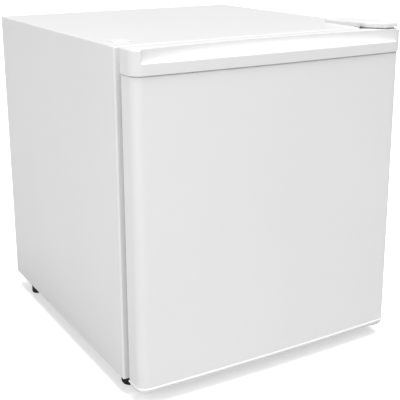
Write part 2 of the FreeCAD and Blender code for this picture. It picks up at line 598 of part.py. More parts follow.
def hinge_cover():
    """Long low moulding that hides the top bracket and reaches over the door's corner."""
    foot, crest = "cab_top + 0.05", "cab_top + cover_h"
    over, ends = "cab_top + cover_lift", ("cover_y0 - 1", "cover_y1 + 1")
    profile = [(ends[0], over), ("1", over), ("1", foot), (ends[1], foot), (ends[1], f"{crest} - cover_fall"),
               (ends[0], crest)]
    shell = cover_form("cover_shell", "0", profile, "9")
    lowest = value(f"{crest} - cover_fall") - 0.1
    shell = rounded("cover_round", shell, "2.2", lambda edge: edge.BoundBox.ZMin > lowest)
    roof = f"{crest} - cover_wall - 0.5"
    profile = [(ends[0], "cab_top - 1"), (ends[1], "cab_top - 1"), (ends[1], f"{roof} - cover_fall"),
               (ends[0], roof)]
    subpart("hinge_cover", cut("hinge_cover", shell, cover_form("cover_room", "cover_wall", profile, "7.5")))
    blank = prism("blank_plate", "z", [("-207", "28"), ("-182", "28"), ("-182", "52"), ("-207", "52")],
                  "cab_top + 0.05", "cab_top + 1.25")
    fillet(blank, "1.5", lambda edge: runs_along(edge, "z"))
    subpart("left_hinge_blank", blank)


# ---------------------------------------------------------------- door
def door_panel():
    """Painted steel skin: bowed front, rounded corners, side returns turned in at the back."""
    outer = bowed("panel_outer", "0", "-door_gap", "panel_bottom", "panel_top")
    inner = bowed("panel_inner", "(-steel_t)", "-door_gap + 2", "panel_bottom - 1", "panel_top + 1")
    returns = [box(f"panel_return_{n}", span, ("-door_gap - steel_t - 2.1", "-door_gap - 2.1"),
                   ("panel_bottom", "panel_top"))
               for n, span in enumerate(mirrored_x("door_w / 2 - 9", "door_w / 2 - 0.4"))]
    subpart("door_panel", fuse("door_panel", cut("panel_skin", outer, inner), *returns))


def scoop_tool():
    """The finger recess: quarter-ellipse sections that deepen from both ends to the middle."""
    front = value("-door_gap - door_t - cap_over - door_bow")
    half, deep, shallow = value("scoop_w / 2"), value("scoop_deep"), value("scoop_shallow")
    top, height, clear = value("cap_top"), value("scoop_h"), 12.0
    sections = []
    for step in range(-SCOOP_STEPS, SCOOP_STEPS + 1):
        share = step / SCOOP_STEPS
        reach = shallow + (deep - shallow) * (1 - share ** 2)
        corner = V(half * share, front + value("door_bow") * (half * share / value("door_w / 2")) ** 2, top)
        low, back = corner - V(0, 0, height), corner + V(0, reach, 0)
        long_end, short_end = (back, low) if reach > height else (low, back)
        quarter = Part.ArcOfEllipse(Part.Ellipse(long_end, short_end, corner), 0, math.pi / 2).toShape()
        around = [low, low - V(0, clear, 0), corner + V(0, -clear, clear), back + V(0, 0, clear), back]
        sides = [Part.LineSegment(here, after).toShape() for here, after in zip(around, around[1:])]
        sections.append(Part.Wire(Part.__sortEdges__([quarter] + sides)))
    tool = doc.addObject("Part::Feature", "scoop_tool")
    tool.Shape = Part.makeLoft(sections, True)
    return tool


def door_top_cap():
    """Moulded end cap: skirt over the steel, thick top rail with the finger scoop."""
    blank = bowed("cap_blank", "cap_over", "-door_gap", "cap_bottom", "cap_top")
    skirt = bowed("cap_skirt_room", "0.1", "-door_gap + 2", "cap_bottom - 1", "panel_top + 0.5")
    pocket = box("cap_pocket", ("-door_w / 2 + 26", "door_w / 2 - 26"),
                 ("-door_gap - 9", "-door_gap - 2.5"), ("panel_top", "cap_top - 3"))
    bores = [rod(f"cap_bore_{n}", "z", "bush_r", "40", (f"{sign}hinge_x", "hinge_y", "panel_top - 1"))
             for n, sign in enumerate(("-", ""))]
    subpart("door_top_cap", cut("door_top_cap", blank, skirt, pocket, scoop_tool(), *bores))


def door_bottom_cap():
    """Bottom end cap: a thin lip under the steel, a set-back band and a pad at each hinge place."""
    lip = bowed("low_cap_lip", "cap_over", "-door_gap", "panel_bottom - 0.1 - lip_h", "panel_bottom - 0.1")
    band = bowed("low_cap_band", "(-band_set)", "-door_gap - 1", "band_bottom", "panel_bottom - 2")
    pads, bores = [], []
    for n, (sign, span) in enumerate(zip(("-", ""), mirrored_x("hinge_x - 21", "hinge_x + 9"))):
        pad_block = box(f"low_cap_pad_{n}", span, ("hinge_y - 14", "hinge_y + 12"), ("19", "22"))
        pads.append(rounded(f"low_cap_pad_round_{n}", pad_block, "7", lambda edge: runs_along(edge, "z")))
        bores.append(rod(f"low_cap_bore_{n}", "z", "bush_r", "40", (f"{sign}hinge_x", "hinge_y", "10")))
    subpart("door_bottom_cap", cut("door_bottom_cap", fuse("low_cap_blank", lip, band, *pads), *bores))


def door_bushes():
    """Nylon bushes that run on the pins, and blind plugs in the two spare bores."""
    spans = {"top": ("panel_top + 0.6", "cap_top - 0.2"), "bottom": ("19.2", "panel_bottom + 4")}
    for place, (low, high) in spans.items():
        sleeve = rod(f"{place}_sleeve", "z", "bush_r", f"({high}) - ({low})", ("hinge_x", "hinge_y", low))
        below = ("hinge_x", "hinge_y", f"({low}) - 5")
        bore = rod(f"{place}_sleeve_bore", "z", "pin_r + pin_fit", "40", below)
        subpart(f"{place}_door_bush", cut(f"{place}_door_bush", sleeve, bore))
    plugs = []
    for place, (low, high) in spans.items():
        foot = ("-hinge_x", "hinge_y", low)
        plugs.append(rod(f"{place}_plug", "z", "bush_r", f"({high}) - ({low})", foot))
    subpart("spare_bore_plugs", group("spare_bore_plugs", *plugs))


def pan_form(tag, inset, back):
    """The raised form on the door's inner face, smaller by inset: a block less its middle recess."""
    half = f"pan_w / 2 - {inset}"
    block = box(f"pan_block_{tag}", (f"-({half})", half), (back, f"dyke_y - {inset}"),
                (f"pan_bottom + {inset}", f"pan_top - {inset}"))
    block = rounded(f"pan_round_{tag}", block, f"7 - {inset}",
                    lambda edge: runs_along(edge, "y") or edge.CenterOfMass.y > value("dyke_y") - 3)
    half = f"pan_w / 2 - dyke_w + {inset}"
    recess = box(f"pan_recess_{tag}", (f"-({half})", half), (f"pan_y - {inset}", "dyke_y + 5"),
                 (f"pan_bottom + dyke_w - {inset} - 8", f"pan_top - dyke_w + {inset}"))
    return cut(f"pan_form_{tag}", block, recess)


def door_liner():
    """Vacuum-formed inner face of the door, and the foam between it and the steel."""
    plate = box("liner_plate", ("-door_w / 2 + 2", "door_w / 2 - 2"), ("-door_gap", "-door_gap + liner_t"),
                ("24", "cap_top - 5"))
    plate = rounded("liner_plate_round", plate, "6", lambda edge: runs_along(edge, "y"))
    form = fuse("door_liner_form", plate, pan_form("skin", "0", "-door_gap + 0.5"))
    core = pan_form("core", "liner_t", "-door_gap - 6")
    subpart("door_liner", cut("door_liner", form, core))
    fill = bowed("door_fill", "(-steel_t - 0.1)", "-door_gap - 3.1", "panel_bottom + 4.5", "panel_top - 0.1")
    fill = fuse("door_foam_blank", fill, core)
    low_bores = []
    for side, sign in SIDES:
        below = (f"{sign}hinge_x", "hinge_y", "panel_bottom")
        low_bores.append(rod(f"foam_bore_{side}", "z", "bush_r + 0.5", "10", below))
    subpart("door_foam", cut("door_foam", fill, *low_bores))


def ring(name, half_w, low, high, thick_in, y):
    """A rectangular frame, thick_in wide, between two y expressions."""
    outer = box(name + "_outer", (f"-({half_w})", half_w), y, (low, high))
    inner = box(name + "_inner", (f"-({half_w}) + {thick_in}", f"{half_w} - {thick_in}"),
                (f"({y[0]}) - 1", f"({y[1]}) + 1"), (f"({low}) + {thick_in}", f"({high}) - {thick_in}"))
    return cut(name, outer, inner)


def in_by(inset):
    """The gasket's half width, low and high measures, drawn in."""
    return f"gasket_w / 2 - ({inset})", f"gasket_low + ({inset})", f"gasket_high - ({inset})"


def gasket():
    """Soft magnetic seal: a wide base on the door, a narrower sealing face, and the magnet strip inside."""
    half, low, high = "gasket_w / 2", "gasket_low", "gasket_high"
    base = ring("gasket_base", half, low, high, "25", ("-door_gap + liner_t", "-4"))
    face = ring("gasket_lip", *in_by("lip_in"), "17.5", ("-4.2", "-gasket_face"))
    slot = ring("magnet_slot", *in_by("lip_in + 3"), "10", ("-3.6", "-1.2"))
    subpart("door_gasket", cut("door_gasket", fuse("gasket_blank", base, face), slot))
    subpart("gasket_magnet", ring("magnet", *in_by("lip_in + 3.4"), "9.2", ("-3.4", "-1.4")))


def rack_corner(edge):
    """The upright edges at a rack's front."""
    return runs_along(edge, "z") and edge.CenterOfMass.y > value("rack_y") / 2


def door_rack(name, low, high):
    """Open plastic rack between the door's side ribs, with a rounded front rail."""
    half = "rack_w / 2"
    block = box(name + "_block", (f"-{half}", half), ("pan_y + 0.1", "rack_y"), (low, high))
    block = rounded(name + "_round", block, "10", rack_corner)
    room = box(name + "_room", (f"-{half} + rack_t", f"{half} - rack_t"),
               ("pan_y + 0.1 + rack_t", "rack_y - rack_t"), (f"({low}) + rack_t", f"({high}) + 5"))
    room = rounded(name + "_room_round", room, "10 - rack_t", rack_corner)
    subpart(name, cut(name, block, room))


# ---------------------------------------------------------------- inside
def icebox():
    """Aluminium evaporator box with its front frame, hung from the liner on four spacers."""
    shell = box("ice_block", ("ice_x0", "ice_x1"), ("ice_y0", "ice_y1"), ("ice_z0", "ice_z1"))
    shell = rounded("ice_round", shell, "9", lambda edge: runs_along(edge, "y"))
    room = box("ice_room", ("ice_x0 + ice_t", "ice_x1 - ice_t"), ("ice_y0 - 5", "ice_y1 - ice_t"),
               ("ice_z0 + ice_t", "ice_z1 - ice_t"))
    room = rounded("ice_room_round", room, "7.5", lambda edge: runs_along(edge, "y"))
    subpart("icebox_shell", cut("icebox_shell", shell, room))
    frame = box("frame_block", ("ice_x0 - 4", "ice_x1 + 4"), ("ice_y0 - 8", "ice_y0 - 0.05"),
                ("ice_z0 - 4", "ice_z1 + 5"))
    frame = rounded("frame_round", frame, "5", lambda edge: runs_along(edge, "y"))
    mouth = box("frame_mouth", ("ice_x0 + 9", "ice_x1 - 9"), ("ice_y0 - 20", "ice_y0 + 5"),
                ("ice_z0 + 7", "ice_z1 - 12"))
    ears = [box(f"ear_{n}", span, ("flap_axis_y - 4", "ice_y0 - 7"), ("flap_axis_z - 5", "flap_axis_z + 5"))
            for n, span in enumerate((("ice_x0 - 4", "ice_x0 + 1"), ("ice_x1 - 1", "ice_x1 + 4")))]
    bore = rod("ear_bore", "x", "1.8 + pin_fit", "ice_x1 - ice_x0 + 20",
               ("ice_x0 - 10", "flap_axis_y", "flap_axis_z"))
    subpart("icebox_frame", cut("icebox_frame", fuse("frame_blank", frame, *ears), mouth, bore))
    plate = box("flap_plate", ("ice_x0 + 2", "ice_x1 - 2"),
                ("flap_axis_y - flap_t / 2", "flap_axis_y + flap_t / 2"), ("ice_z0", "flap_axis_z"))
    barrel = rod("flap_barrel", "x", "2.6", "ice_x1 - ice_x0 - 4",
                 ("ice_x0 + 2", "flap_axis_y", "flap_axis_z"))
    pins = rod("flap_pins", "x", "1.8", "ice_x1 - ice_x0 + 6", ("ice_x0 - 3", "flap_axis_y", "flap_axis_z"))
    pull = box("flap_pull", ("(ice_x0 + ice_x1) / 2 - 32", "(ice_x0 + ice_x1) / 2 + 32"),
               ("flap_axis_y - 8", "flap_axis_y - flap_t / 2 + 0.5"), ("ice_z0 + 3", "ice_z0 + 6"))
    subpart("icebox_flap", fuse("icebox_flap", plate, barrel, pins, pull))
    spacers = [rod(f"spacer_{n}", "z", "6", "cavity_top - ice_z1 - 0.1", (x, y, "ice_z1 + 0.05"))
               for n, (x, y) in enumerate(ICE_HANGERS)]
    subpart("icebox_spacers", group("icebox_spacers", *spacers))


def drip_tray():
    """Clear tray that slides under the icebox on two side rails."""
    left, right = "ice_x0 + 3", "ice_x1 - 3"
    y = ("ice_y0 - 6", "ice_y1 - 6")
    top = "tray_bottom + 17"
    flange = box("tray_flange", (f"{left} - 5", f"{right} + 5"), y, (f"{top} - 2", top))
    block = box("tray_block", (left, right), y, ("tray_bottom", top))
    block = rounded("tray_round", block, "5", lambda edge: runs_along(edge, "z"))
    room = box("tray_room", (f"{left} + 2", f"{right} - 2"), ("ice_y0 - 4", "ice_y1 - 8"),
               ("tray_bottom + 2", f"{top} + 5"))
    room = rounded("tray_room_round", room, "3.5", lambda edge: runs_along(edge, "z"))
    grip = box("tray_grip", ("(ice_x0 + ice_x1) / 2 - 36", "(ice_x0 + ice_x1) / 2 + 36"),
               ("ice_y0 - 16", "ice_y0 - 5"), (f"{top} - 2.5", top))
    subpart("drip_tray", cut("drip_tray", fuse("tray_blank", block, flange, grip), room))
    for side, sign, edge in (("left", "-", f"{left} - 5"), ("right", "+", f"{right} + 5")):
        inner, outer = f"{edge} {sign} 0.4", f"{edge} {sign} 2"
        wall = (outer, inner) if sign == "-" else (inner, outer)
        lip = (outer, f"{edge} + 3.5") if sign == "-" else (f"{edge} - 3.5", outer)
        back = ("ice_y0 + 1", "ice_y1 - 4")
        upright = box(f"rail_wall_{side}", wall, back, (f"{top} - 4.4", "ice_z0 + 0.2"))
        ledge = box(f"rail_lip_{side}", lip, back, (f"{top} - 4.4", f"{top} - 2.4"))
        arm = (wall[0], "ice_x0 + 12") if sign == "-" else ("ice_x1 - 12", wall[1])
        foot = box(f"rail_foot_{side}", arm, back, ("ice_z0 - 1.6", "ice_z0 - 0.05"))
        subpart(f"tray_rail_{side}", fuse(f"tray_rail_{side}", upright, ledge, foot))


def wire_shelf():
    """Coated wire shelf: a rim with rounded corners, two cross bars and lengthwise wires."""
    half = "(shelf_w / 2)"
    corners = [("0", "shelf_y0"), (half, "shelf_y0"), (half, "shelf_y1"), (f"-{half}", "shelf_y1"),
               (f"-{half}", "shelf_y0"), ("0", "shelf_y0")]
    rim_points = [(x, y, "shelf_z") for x, y in corners]
    rim = tube("shelf_rim", "rim_r", rim_points, "12")
    pieces = [rim]
    for n, share in enumerate(("0.33", "0.67")):
        y = f"shelf_y0 + {share} * (shelf_y1 - shelf_y0)"
        pieces.append(rod(f"shelf_bar_{n}", "x", "rim_r - 0.3", "shelf_w", (f"-{half}", y, "shelf_z - 0.4")))
    for n in range(SHELF_WIRES):
        start = (f"-{half} + {n + 1} * shelf_w / {SHELF_WIRES + 1}", "shelf_y0", "shelf_z + 1.2")
        pieces.append(rod(f"shelf_wire_{n}", "y", "wire_r", "shelf_y1 - shelf_y0", start))
    subpart("wire_shelf", fuse("wire_shelf", *pieces))


def thermostat():
    """Housing under the liner's ceiling, the switch in it, and the knob on its shaft."""
    block = box("stat_block", ("stat_x - 31", "stat_x + 25.5"), ("stat_y", "stat_y + 90"),
                ("stat_z - 24", "cavity_top - 0.1"))
    block = rounded("stat_round", block, "5", lambda edge: edge.CenterOfMass.z < value("stat_z - 24") + 1
                    or (runs_along(edge, "z") and edge.CenterOfMass.y < value("stat_y") + 1))
    room = box("stat_room", ("stat_x - 29", "stat_x + 23.5"), ("stat_y + 2", "stat_y + 88"),
               ("stat_z - 22", "cavity_top + 5"))
    hole = rod("stat_hole", "y", "3.06", "10", ("stat_x", "stat_y - 5", "stat_z"))
    subpart("thermostat_housing", cut("thermostat_housing", block, room, hole))
    switch = box("stat_switch", ("stat_x - 16", "stat_x + 16"), ("stat_y + 16", "stat_y + 52"),
                 ("stat_z - 16", "stat_z + 18"))
    subpart("thermostat_switch", switch)
    skirt = rod("knob_skirt", "y", "knob_r", "4", ("stat_x", "stat_y - 5", "stat_z"))
    hub = rod("knob_hub", "y", "knob_r - 3", "knob_h - 4", ("stat_x", "stat_y - 1 - knob_h", "stat_z"))
    face = value("stat_y - 1 - knob_h")
    hub = rounded("knob_hub_round", hub, "1.5", lambda edge: edge.CenterOfMass.y < face + 1)
    grip = box("knob_grip", ("stat_x - 3", "stat_x + 3"), ("stat_y - 5 - knob_h", "stat_y - knob_h + 1"),
               ("stat_z - knob_r + 4", "stat_z + knob_r - 4"))
    bore = rod("knob_bore", "y", "3", "20", ("stat_x", "stat_y - 9", "stat_z"))
    subpart("thermostat_knob", cut("thermostat_knob", fuse("knob_blank", skirt, hub, grip), bore))
    subpart("thermostat_shaft", rod("stat_shaft", "y", "3", "24", ("stat_x", "stat_y - 9", "stat_z")))
    route = [("stat_x - 31.1", "stat_y + 60", "stat_z - 8"), ("ice_x1 + 12", "stat_y + 60", "stat_z - 8"),
             ("ice_x1 + 12", "stat_y + 60", "stat_z - 40"), ("ice_x1 + 2.2", "stat_y + 60", "stat_z - 40"),
             ("ice_x1 + 2.2", "stat_y + 140", "stat_z - 40")]
    subpart("sensing_bulb", tube("sensing_bulb", "1.1", route, "4.5"))


def check_and_export():
    """Stop on any failed object or bad shape, then write one STEP file for each sub-part."""
    doc.recompute()
    failed = [obj.Name for obj in doc.Objects if {"Invalid", "Error"} & set(obj.State)]
    if failed:
        raise RuntimeError("failed objects: " + ", ".join(failed))
    os.makedirs("parts", exist_ok=True)
    for obj in subparts:
        shape = obj.Shape
        if shape.isNull() or not shape.isValid() or not shape.Solids:
            raise RuntimeError("bad shape: " + obj.Label)
        shape.exportStep(f"parts/{obj.Label}.step")
        size = shape.BoundBox
        spans = ((size.XMin, size.XMax), (size.YMin, size.YMax), (size.ZMin, size.ZMax))
        text = "  ".join(f"{axis} {low:7.1f} {high:7.1f}" for axis, (low, high) in zip("xyz", spans))
        print(f"{obj.Label:22s} {len(shape.Solids):3d} solids {shape.Volume / 1000:9.2f} cm3 {text}")


outside = liner_outside()
outer_wrap()
floor_pieces()
back_panel()
inner_liner(outside)
foam_insulation(outside)
compressor()
condenser()
feet()
hinges()
hinge_cover()
door_panel()
door_top_cap()
door_bottom_cap()
door_bushes()
door_liner()
gasket()
door_rack("lower_door_rack", "low_rack", "low_rack_top")
door_rack("upper_door_rack", "up_rack", "up_rack_top")
icebox()
drip_tray()
wire_shelf()
thermostat()
check_and_export()
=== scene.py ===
# %% [markdown]
# # Dressing a table-top fridge
# The imported model is a working fridge: a folded steel box, a door on two pins, an icebox, a shelf and
# a cooling unit. This notebook lays the visible surfaces over it. Every piece goes where the packed
# model says and rides on one of its bodies.

# %% Load the frame
import json
import math

import bmesh
import bpy
from mathutils import Matrix, Vector


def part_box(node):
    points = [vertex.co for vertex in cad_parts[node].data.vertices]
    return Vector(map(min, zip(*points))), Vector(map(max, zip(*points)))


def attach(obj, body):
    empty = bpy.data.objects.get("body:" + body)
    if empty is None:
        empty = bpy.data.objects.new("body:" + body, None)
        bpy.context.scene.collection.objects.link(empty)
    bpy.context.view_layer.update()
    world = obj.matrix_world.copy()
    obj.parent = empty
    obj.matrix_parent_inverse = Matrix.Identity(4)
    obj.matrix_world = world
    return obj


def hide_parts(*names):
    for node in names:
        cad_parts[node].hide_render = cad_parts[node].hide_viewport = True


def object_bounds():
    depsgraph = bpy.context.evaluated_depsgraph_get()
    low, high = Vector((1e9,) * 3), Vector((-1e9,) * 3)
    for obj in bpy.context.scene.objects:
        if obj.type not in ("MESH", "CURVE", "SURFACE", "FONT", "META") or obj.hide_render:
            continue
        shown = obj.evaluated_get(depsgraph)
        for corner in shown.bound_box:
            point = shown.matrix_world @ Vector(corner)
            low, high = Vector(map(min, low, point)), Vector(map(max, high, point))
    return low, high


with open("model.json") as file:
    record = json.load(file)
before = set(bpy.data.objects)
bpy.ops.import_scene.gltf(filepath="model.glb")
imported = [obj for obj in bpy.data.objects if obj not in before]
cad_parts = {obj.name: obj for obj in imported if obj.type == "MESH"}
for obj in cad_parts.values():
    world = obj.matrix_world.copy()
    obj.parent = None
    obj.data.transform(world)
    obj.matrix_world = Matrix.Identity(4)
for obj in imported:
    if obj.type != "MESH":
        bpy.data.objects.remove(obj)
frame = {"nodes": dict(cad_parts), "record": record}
cad_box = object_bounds()
MM = 0.001
print("packed size in mm:", [round(side / MM, 1) for side in cad_box[1] - cad_box[0]])

# %% [markdown]
# ## Camera
# A product shot of a white fridge is taken from a little above its top and well to one side, so that
# the door, one flank and the top all show. A short telephoto lens keeps the perspective mild. The
# lens is shifted a little, as a view camera's is, which moves the picture up or down in its frame
# without tilting the camera any further.

# %% Camera
SENSOR_MM = 36.0
camera = bpy.data.objects.new("camera", bpy.data.cameras.new("camera"))
camera.data.sensor_width = SENSOR_MM
camera.data.lens = 74.9
camera.data.shift_y = -0.11
camera.location = (-0.6467, -1.1373, 0.6169)
looks_right, looks_down, roll = 30.55, 15.07, 0.2
camera.rotation_euler = [math.radians(angle) for angle in (90 - looks_down, roll, -looks_right)]
bpy.context.scene.collection.objects.link(camera)
bpy.context.scene.camera = camera
print("camera is", round((camera.location - sum(cad_box, Vector()) / 2).length, 2), "m from the fridge")

# %% [markdown]
# ## Studio
# A white object on a white ground needs light from all round, with more from above and from the front
# left, so that its three faces differ by a few shades only. The world gives the even part: it lights
# the fridge dimly but shows as plain white behind it. A softbox at the front left and a weak one at the
# side light the door and the flank, and a wide soft sun stands in for a silk stretched overhead. The
# floor is a big pale sheet of matt paper.

# %% Floor, world and softboxes
bpy.context.scene.view_settings.view_transform = "Standard"


def linear(text):
    """An sRGB colour such as #f4f4f2 as linear red, green, blue and alpha."""
    parts = [int(text[start:start + 2], 16) / 255 for start in (1, 3, 5)]
    return tuple(c / 12.92 if c <= 0.04045 else ((c + 0.055) / 1.055) ** 2.4 for c in parts) + (1.0,)


def add(tree, kind, links=None, **settings):
    """Adds a node: settings are its properties, links give each input a value or another node's output."""
    made = tree.nodes.new(kind)
    for name, setting in settings.items():
        setattr(made, name, setting)
    for socket, source in (links or {}).items():
        if isinstance(source, bpy.types.NodeSocket):
            tree.links.new(source, made.inputs[socket])
        else:
            made.inputs[socket].default_value = source
    return made


def softbox(name, place, aim, size, watts):
    """A square area light at one point, turned towards another."""
    lamp = bpy.data.objects.new(name, bpy.data.lights.new(name, "AREA"))
    lamp.data.size, lamp.data.energy = size, watts
    lamp.location = place
    lamp.rotation_euler = (Vector(aim) - Vector(place)).to_track_quat("-Z", "Y").to_euler()
    bpy.context.scene.collection.objects.link(lamp)
    return lamp


world = bpy.data.worlds.new("even_white")
world.use_nodes = True
sky = world.node_tree.nodes["Background"]
sky.inputs["Color"].default_value = linear("#fdfdfd")
as_light, as_backdrop = 0.42, 1.1
seen = add(world.node_tree, "ShaderNodeLightPath").outputs["Is Camera Ray"]
glow = add(world.node_tree, "ShaderNodeMapRange", {"Value": seen, "To Min": as_light, "To Max": as_backdrop})
world.node_tree.links.new(glow.outputs["Result"], sky.inputs["Strength"])
bpy.context.scene.world = world
middle = (cad_box[0] + cad_box[1]) / 2
softbox("front_softbox", (-1.4, -1.4, 1.0), middle, 1.1, 9.6)
softbox("side_softbox", (-2.7, -0.5, 1.2), middle, 1.6, 2.3)
silk = bpy.data.objects.new("overhead_silk", bpy.data.lights.new("overhead_silk", "SUN"))
silk.data.energy, silk.data.angle = 2.95, math.radians(34)
silk.rotation_euler = (math.radians(8), math.radians(4), 0)
bpy.context.scene.collection.objects.link(silk)

floor_mesh = bpy.data.meshes.new("paper_floor")
reach = 14.0
floor_corners = [(-reach, -reach, 0), (reach, -reach, 0), (reach, reach, 0), (-reach, reach, 0)]
floor_mesh.from_pydata(floor_corners, [], [(0, 1, 2, 3)])
paper_floor = bpy.data.objects.new("paper_floor", floor_mesh)
bpy.context.scene.collection.objects.link(paper_floor)
print("floor is", 2 * reach, "m across")

# %% [markdown]
# ## Finishes
# Each finish starts from what the real one is: what the part is made of and how its surface was made.
# Patterns are worked out from real sizes in millimetres, and read Object coordinates, which are metres
# here. White parts are told apart by gloss and by how their skin waves, because their colours are close.

# %% One function starts a finish
def finish(name, base, rough, **sockets):
    """A material with one shader set to a colour, a roughness and other sockets, and its coordinates."""
    material = bpy.data.materials.new(name)
    material.use_nodes = True
    tree = material.node_tree
    shader = tree.nodes["Principled BSDF"]
    shader.inputs["Base Color"].default_value = linear(base)
    shader.inputs["Roughness"].default_value = rough
    for socket, setting in sockets.items():
        shader.inputs[socket.replace("_", " ")].default_value = setting
    place = add(tree, "ShaderNodeTexCoord").outputs["Object"]
    return material, tree, shader, place


def waves(tree, shader, height, depth_mm):
    """Makes a height pattern tilt the surface, with a depth in millimetres."""
    lift = add(tree, "ShaderNodeBump", {"Height": height, "Distance": depth_mm * MM, "Strength": 1.0})
    tree.links.new(lift.outputs["Normal"], shader.inputs["Normal"])


def vary(tree, shader, socket, factor, low, high):
    """Spreads a pattern over a range of values on one of the shader's sockets."""
    spread = add(tree, "ShaderNodeMapRange", {"Value": factor, "To Min": low, "To Max": high})
    tree.links.new(spread.outputs["Result"], shader.inputs[socket])


def tint(tree, shader, factor, first, second):
    """Blends two colours by a pattern."""
    blend = add(tree, "ShaderNodeMix", {"Factor": factor}, data_type="RGBA")
    blend.inputs[6].default_value, blend.inputs[7].default_value = linear(first), linear(second)
    tree.links.new(blend.outputs[2], shader.inputs["Base Color"])


# %% [markdown]
# ### White coatings and mouldings
# The steel is coated white enamel: it has a faint orange peel, a wave 4 to 8 mm long that softens what
# it mirrors. The caps are ABS moulded in a finely etched tool, so they are duller. The liners are sheet
# polystyrene drawn over a form while hot, which leaves them glossy with long lazy waves.

# %% Enamelled steel, moulded ABS, drawn polystyrene
def sprayed_enamel(name, base, second, rough, peel_mm):
    """Stoved enamel on steel: smooth, with orange peel and the faintest change of shade."""
    material, tree, shader, place = finish(name, base, rough, Coat_Weight=0.15, Coat_Roughness=0.12)
    peel = add(tree, "ShaderNodeTexNoise", {"Vector": place, "Scale": 1000 / peel_mm, "Detail": 1.5})
    shade = add(tree, "ShaderNodeTexNoise", {"Vector": place, "Scale": 1000 / 160, "Detail": 1.0})
    tint(tree, shader, shade.outputs["Fac"], base, second)
    vary(tree, shader, "Roughness", shade.outputs["Fac"], rough - 0.04, rough + 0.06)
    waves(tree, shader, peel.outputs["Fac"], 0.035)
    return material


def moulded(name, base, second, rough, grain_mm, depth_mm, **sockets):
    """Plastic from an etched tool: fine even grain and a soft change of gloss where it flowed."""
    material, tree, shader, place = finish(name, base, rough, **sockets)
    grain = add(tree, "ShaderNodeTexNoise", {"Vector": place, "Scale": 1000 / grain_mm, "Detail": 3.0})
    flow = add(tree, "ShaderNodeTexNoise", {"Vector": place, "Scale": 1000 / 70, "Detail": 2.0})
    tint(tree, shader, flow.outputs["Fac"], base, second)
    vary(tree, shader, "Roughness", flow.outputs["Fac"], rough - 0.05, rough + 0.07)
    waves(tree, shader, grain.outputs["Fac"], depth_mm)
    return material


finishes = {
    "white_enamel": sprayed_enamel("sprayed_white_enamel", "#eaeaea", "#e6e6e6", 0.34, 5.0),
    # the grain of the tool is about 0.3 mm; it is drawn at 1.6 mm so that it shows
    "white_abs": moulded("etched_white_abs", "#e8e8e8", "#e4e4e4", 0.40, 1.6, 0.02),
    "liner_hips": moulded("drawn_polystyrene", "#f3f5f5", "#eef1f2", 0.33, 38.0, 0.07, IOR=1.59),
    "rack_plastic": moulded("gloss_moulded_styrene", "#eef1f2", "#e8ecee", 0.20, 3.0, 0.01, IOR=1.59),
    "coated_wire": moulded("white_coated_wire", "#f1f2f1", "#e9ebea", 0.33, 4.0, 0.03),
    "nylon": moulded("turned_nylon", "#e9e4d6", "#e1dbcb", 0.42, 1.2, 0.02),
}
print(len(finishes), "white finishes")

# %% [markdown]
# ### Dark plastic, rubber and vinyl
# Feet, clips and the relay's cover are black polypropylene with a sanded look. The rubber grommets are
# duller. The door seal is soft extruded vinyl, grey-white with a slight drag along its length; its colour
# is painted a darker grey than that, as painted shade for the narrow gap it sits in.

# %% Black polypropylene, rubber, grey vinyl, bonded ferrite
finishes["black_plastic"] = moulded("sanded_black_polypropylene", "#1d1e20", "#26272a", 0.50, 1.4, 0.04)
finishes["black_rubber"] = moulded("moulded_black_rubber", "#1a1a1a", "#232322", 0.72, 2.0, 0.05)
# the seal's own grey-white is darkened to mid grey here: painted shade for the gap between door and cabinet
finishes["gasket_vinyl"] = moulded("extruded_grey_vinyl", "#a4a4a4", "#989898", 0.52, 9.0, 0.05)
# hot-stamped figures: a thin grey ink film, duller than the plastic round it
finishes["printed_ink"] = moulded("stamped_grey_ink", "#5b6064", "#656a6e", 0.55, 1.0, 0.01)
finishes["ferrite_strip"] = moulded("bonded_ferrite", "#34312f", "#2a2827", 0.60, 1.5, 0.03)
print("dark and soft finishes made")

# %% [markdown]
# ### Clear styrene
# The tray under the icebox is crystal polystyrene, clear and faintly blue, with polished faces. It lets
# most of the light through and shows itself by its edges.

# %% Clear polystyrene
clear, tree, shader, place = finish(
    "clear_polystyrene", "#f7fbfc", 0.06, IOR=1.59, Transmission_Weight=0.88, Specular_IOR_Level=0.5
)
flow = add(tree, "ShaderNodeTexNoise", {"Vector": place, "Scale": 1000 / 30, "Detail": 1.0})
waves(tree, shader, flow.outputs["Fac"], 0.05)
vary(tree, shader, "Roughness", flow.outputs["Fac"], 0.04, 0.10)
finishes["clear_plastic"] = clear
print("clear finish made")

# %% [markdown]
# ### Bare and plated metals
# Hot-dip galvanised sheet freezes in patches of crystals, the spangle, 10 to 25 mm across, and each
# patch has its own grey and its own gloss. Zinc plate on screws and brackets is even and bright. Copper
# pipe goes brown in patches as it ages. The icebox is rolled aluminium, with fine lines along the roll.

# %% Galvanised sheet
galvanised, tree, shader, place = finish("galvanised_sheet", "#b3b8ba", 0.42, Metallic=1.0)
spangle = add(tree, "ShaderNodeTexVoronoi", {"Vector": place, "Scale": 1000 / 14, "Randomness": 1.0})
patch = add(tree, "ShaderNodeSeparateColor", {"Color": spangle.outputs["Color"]})
tint(tree, shader, patch.outputs["Red"], "#a3a9ac", "#c6cacc")
vary(tree, shader, "Roughness", patch.outputs["Green"], 0.34, 0.52)
waves(tree, shader, patch.outputs["Blue"], 0.02)
finishes["galvanised_sheet"] = galvanised

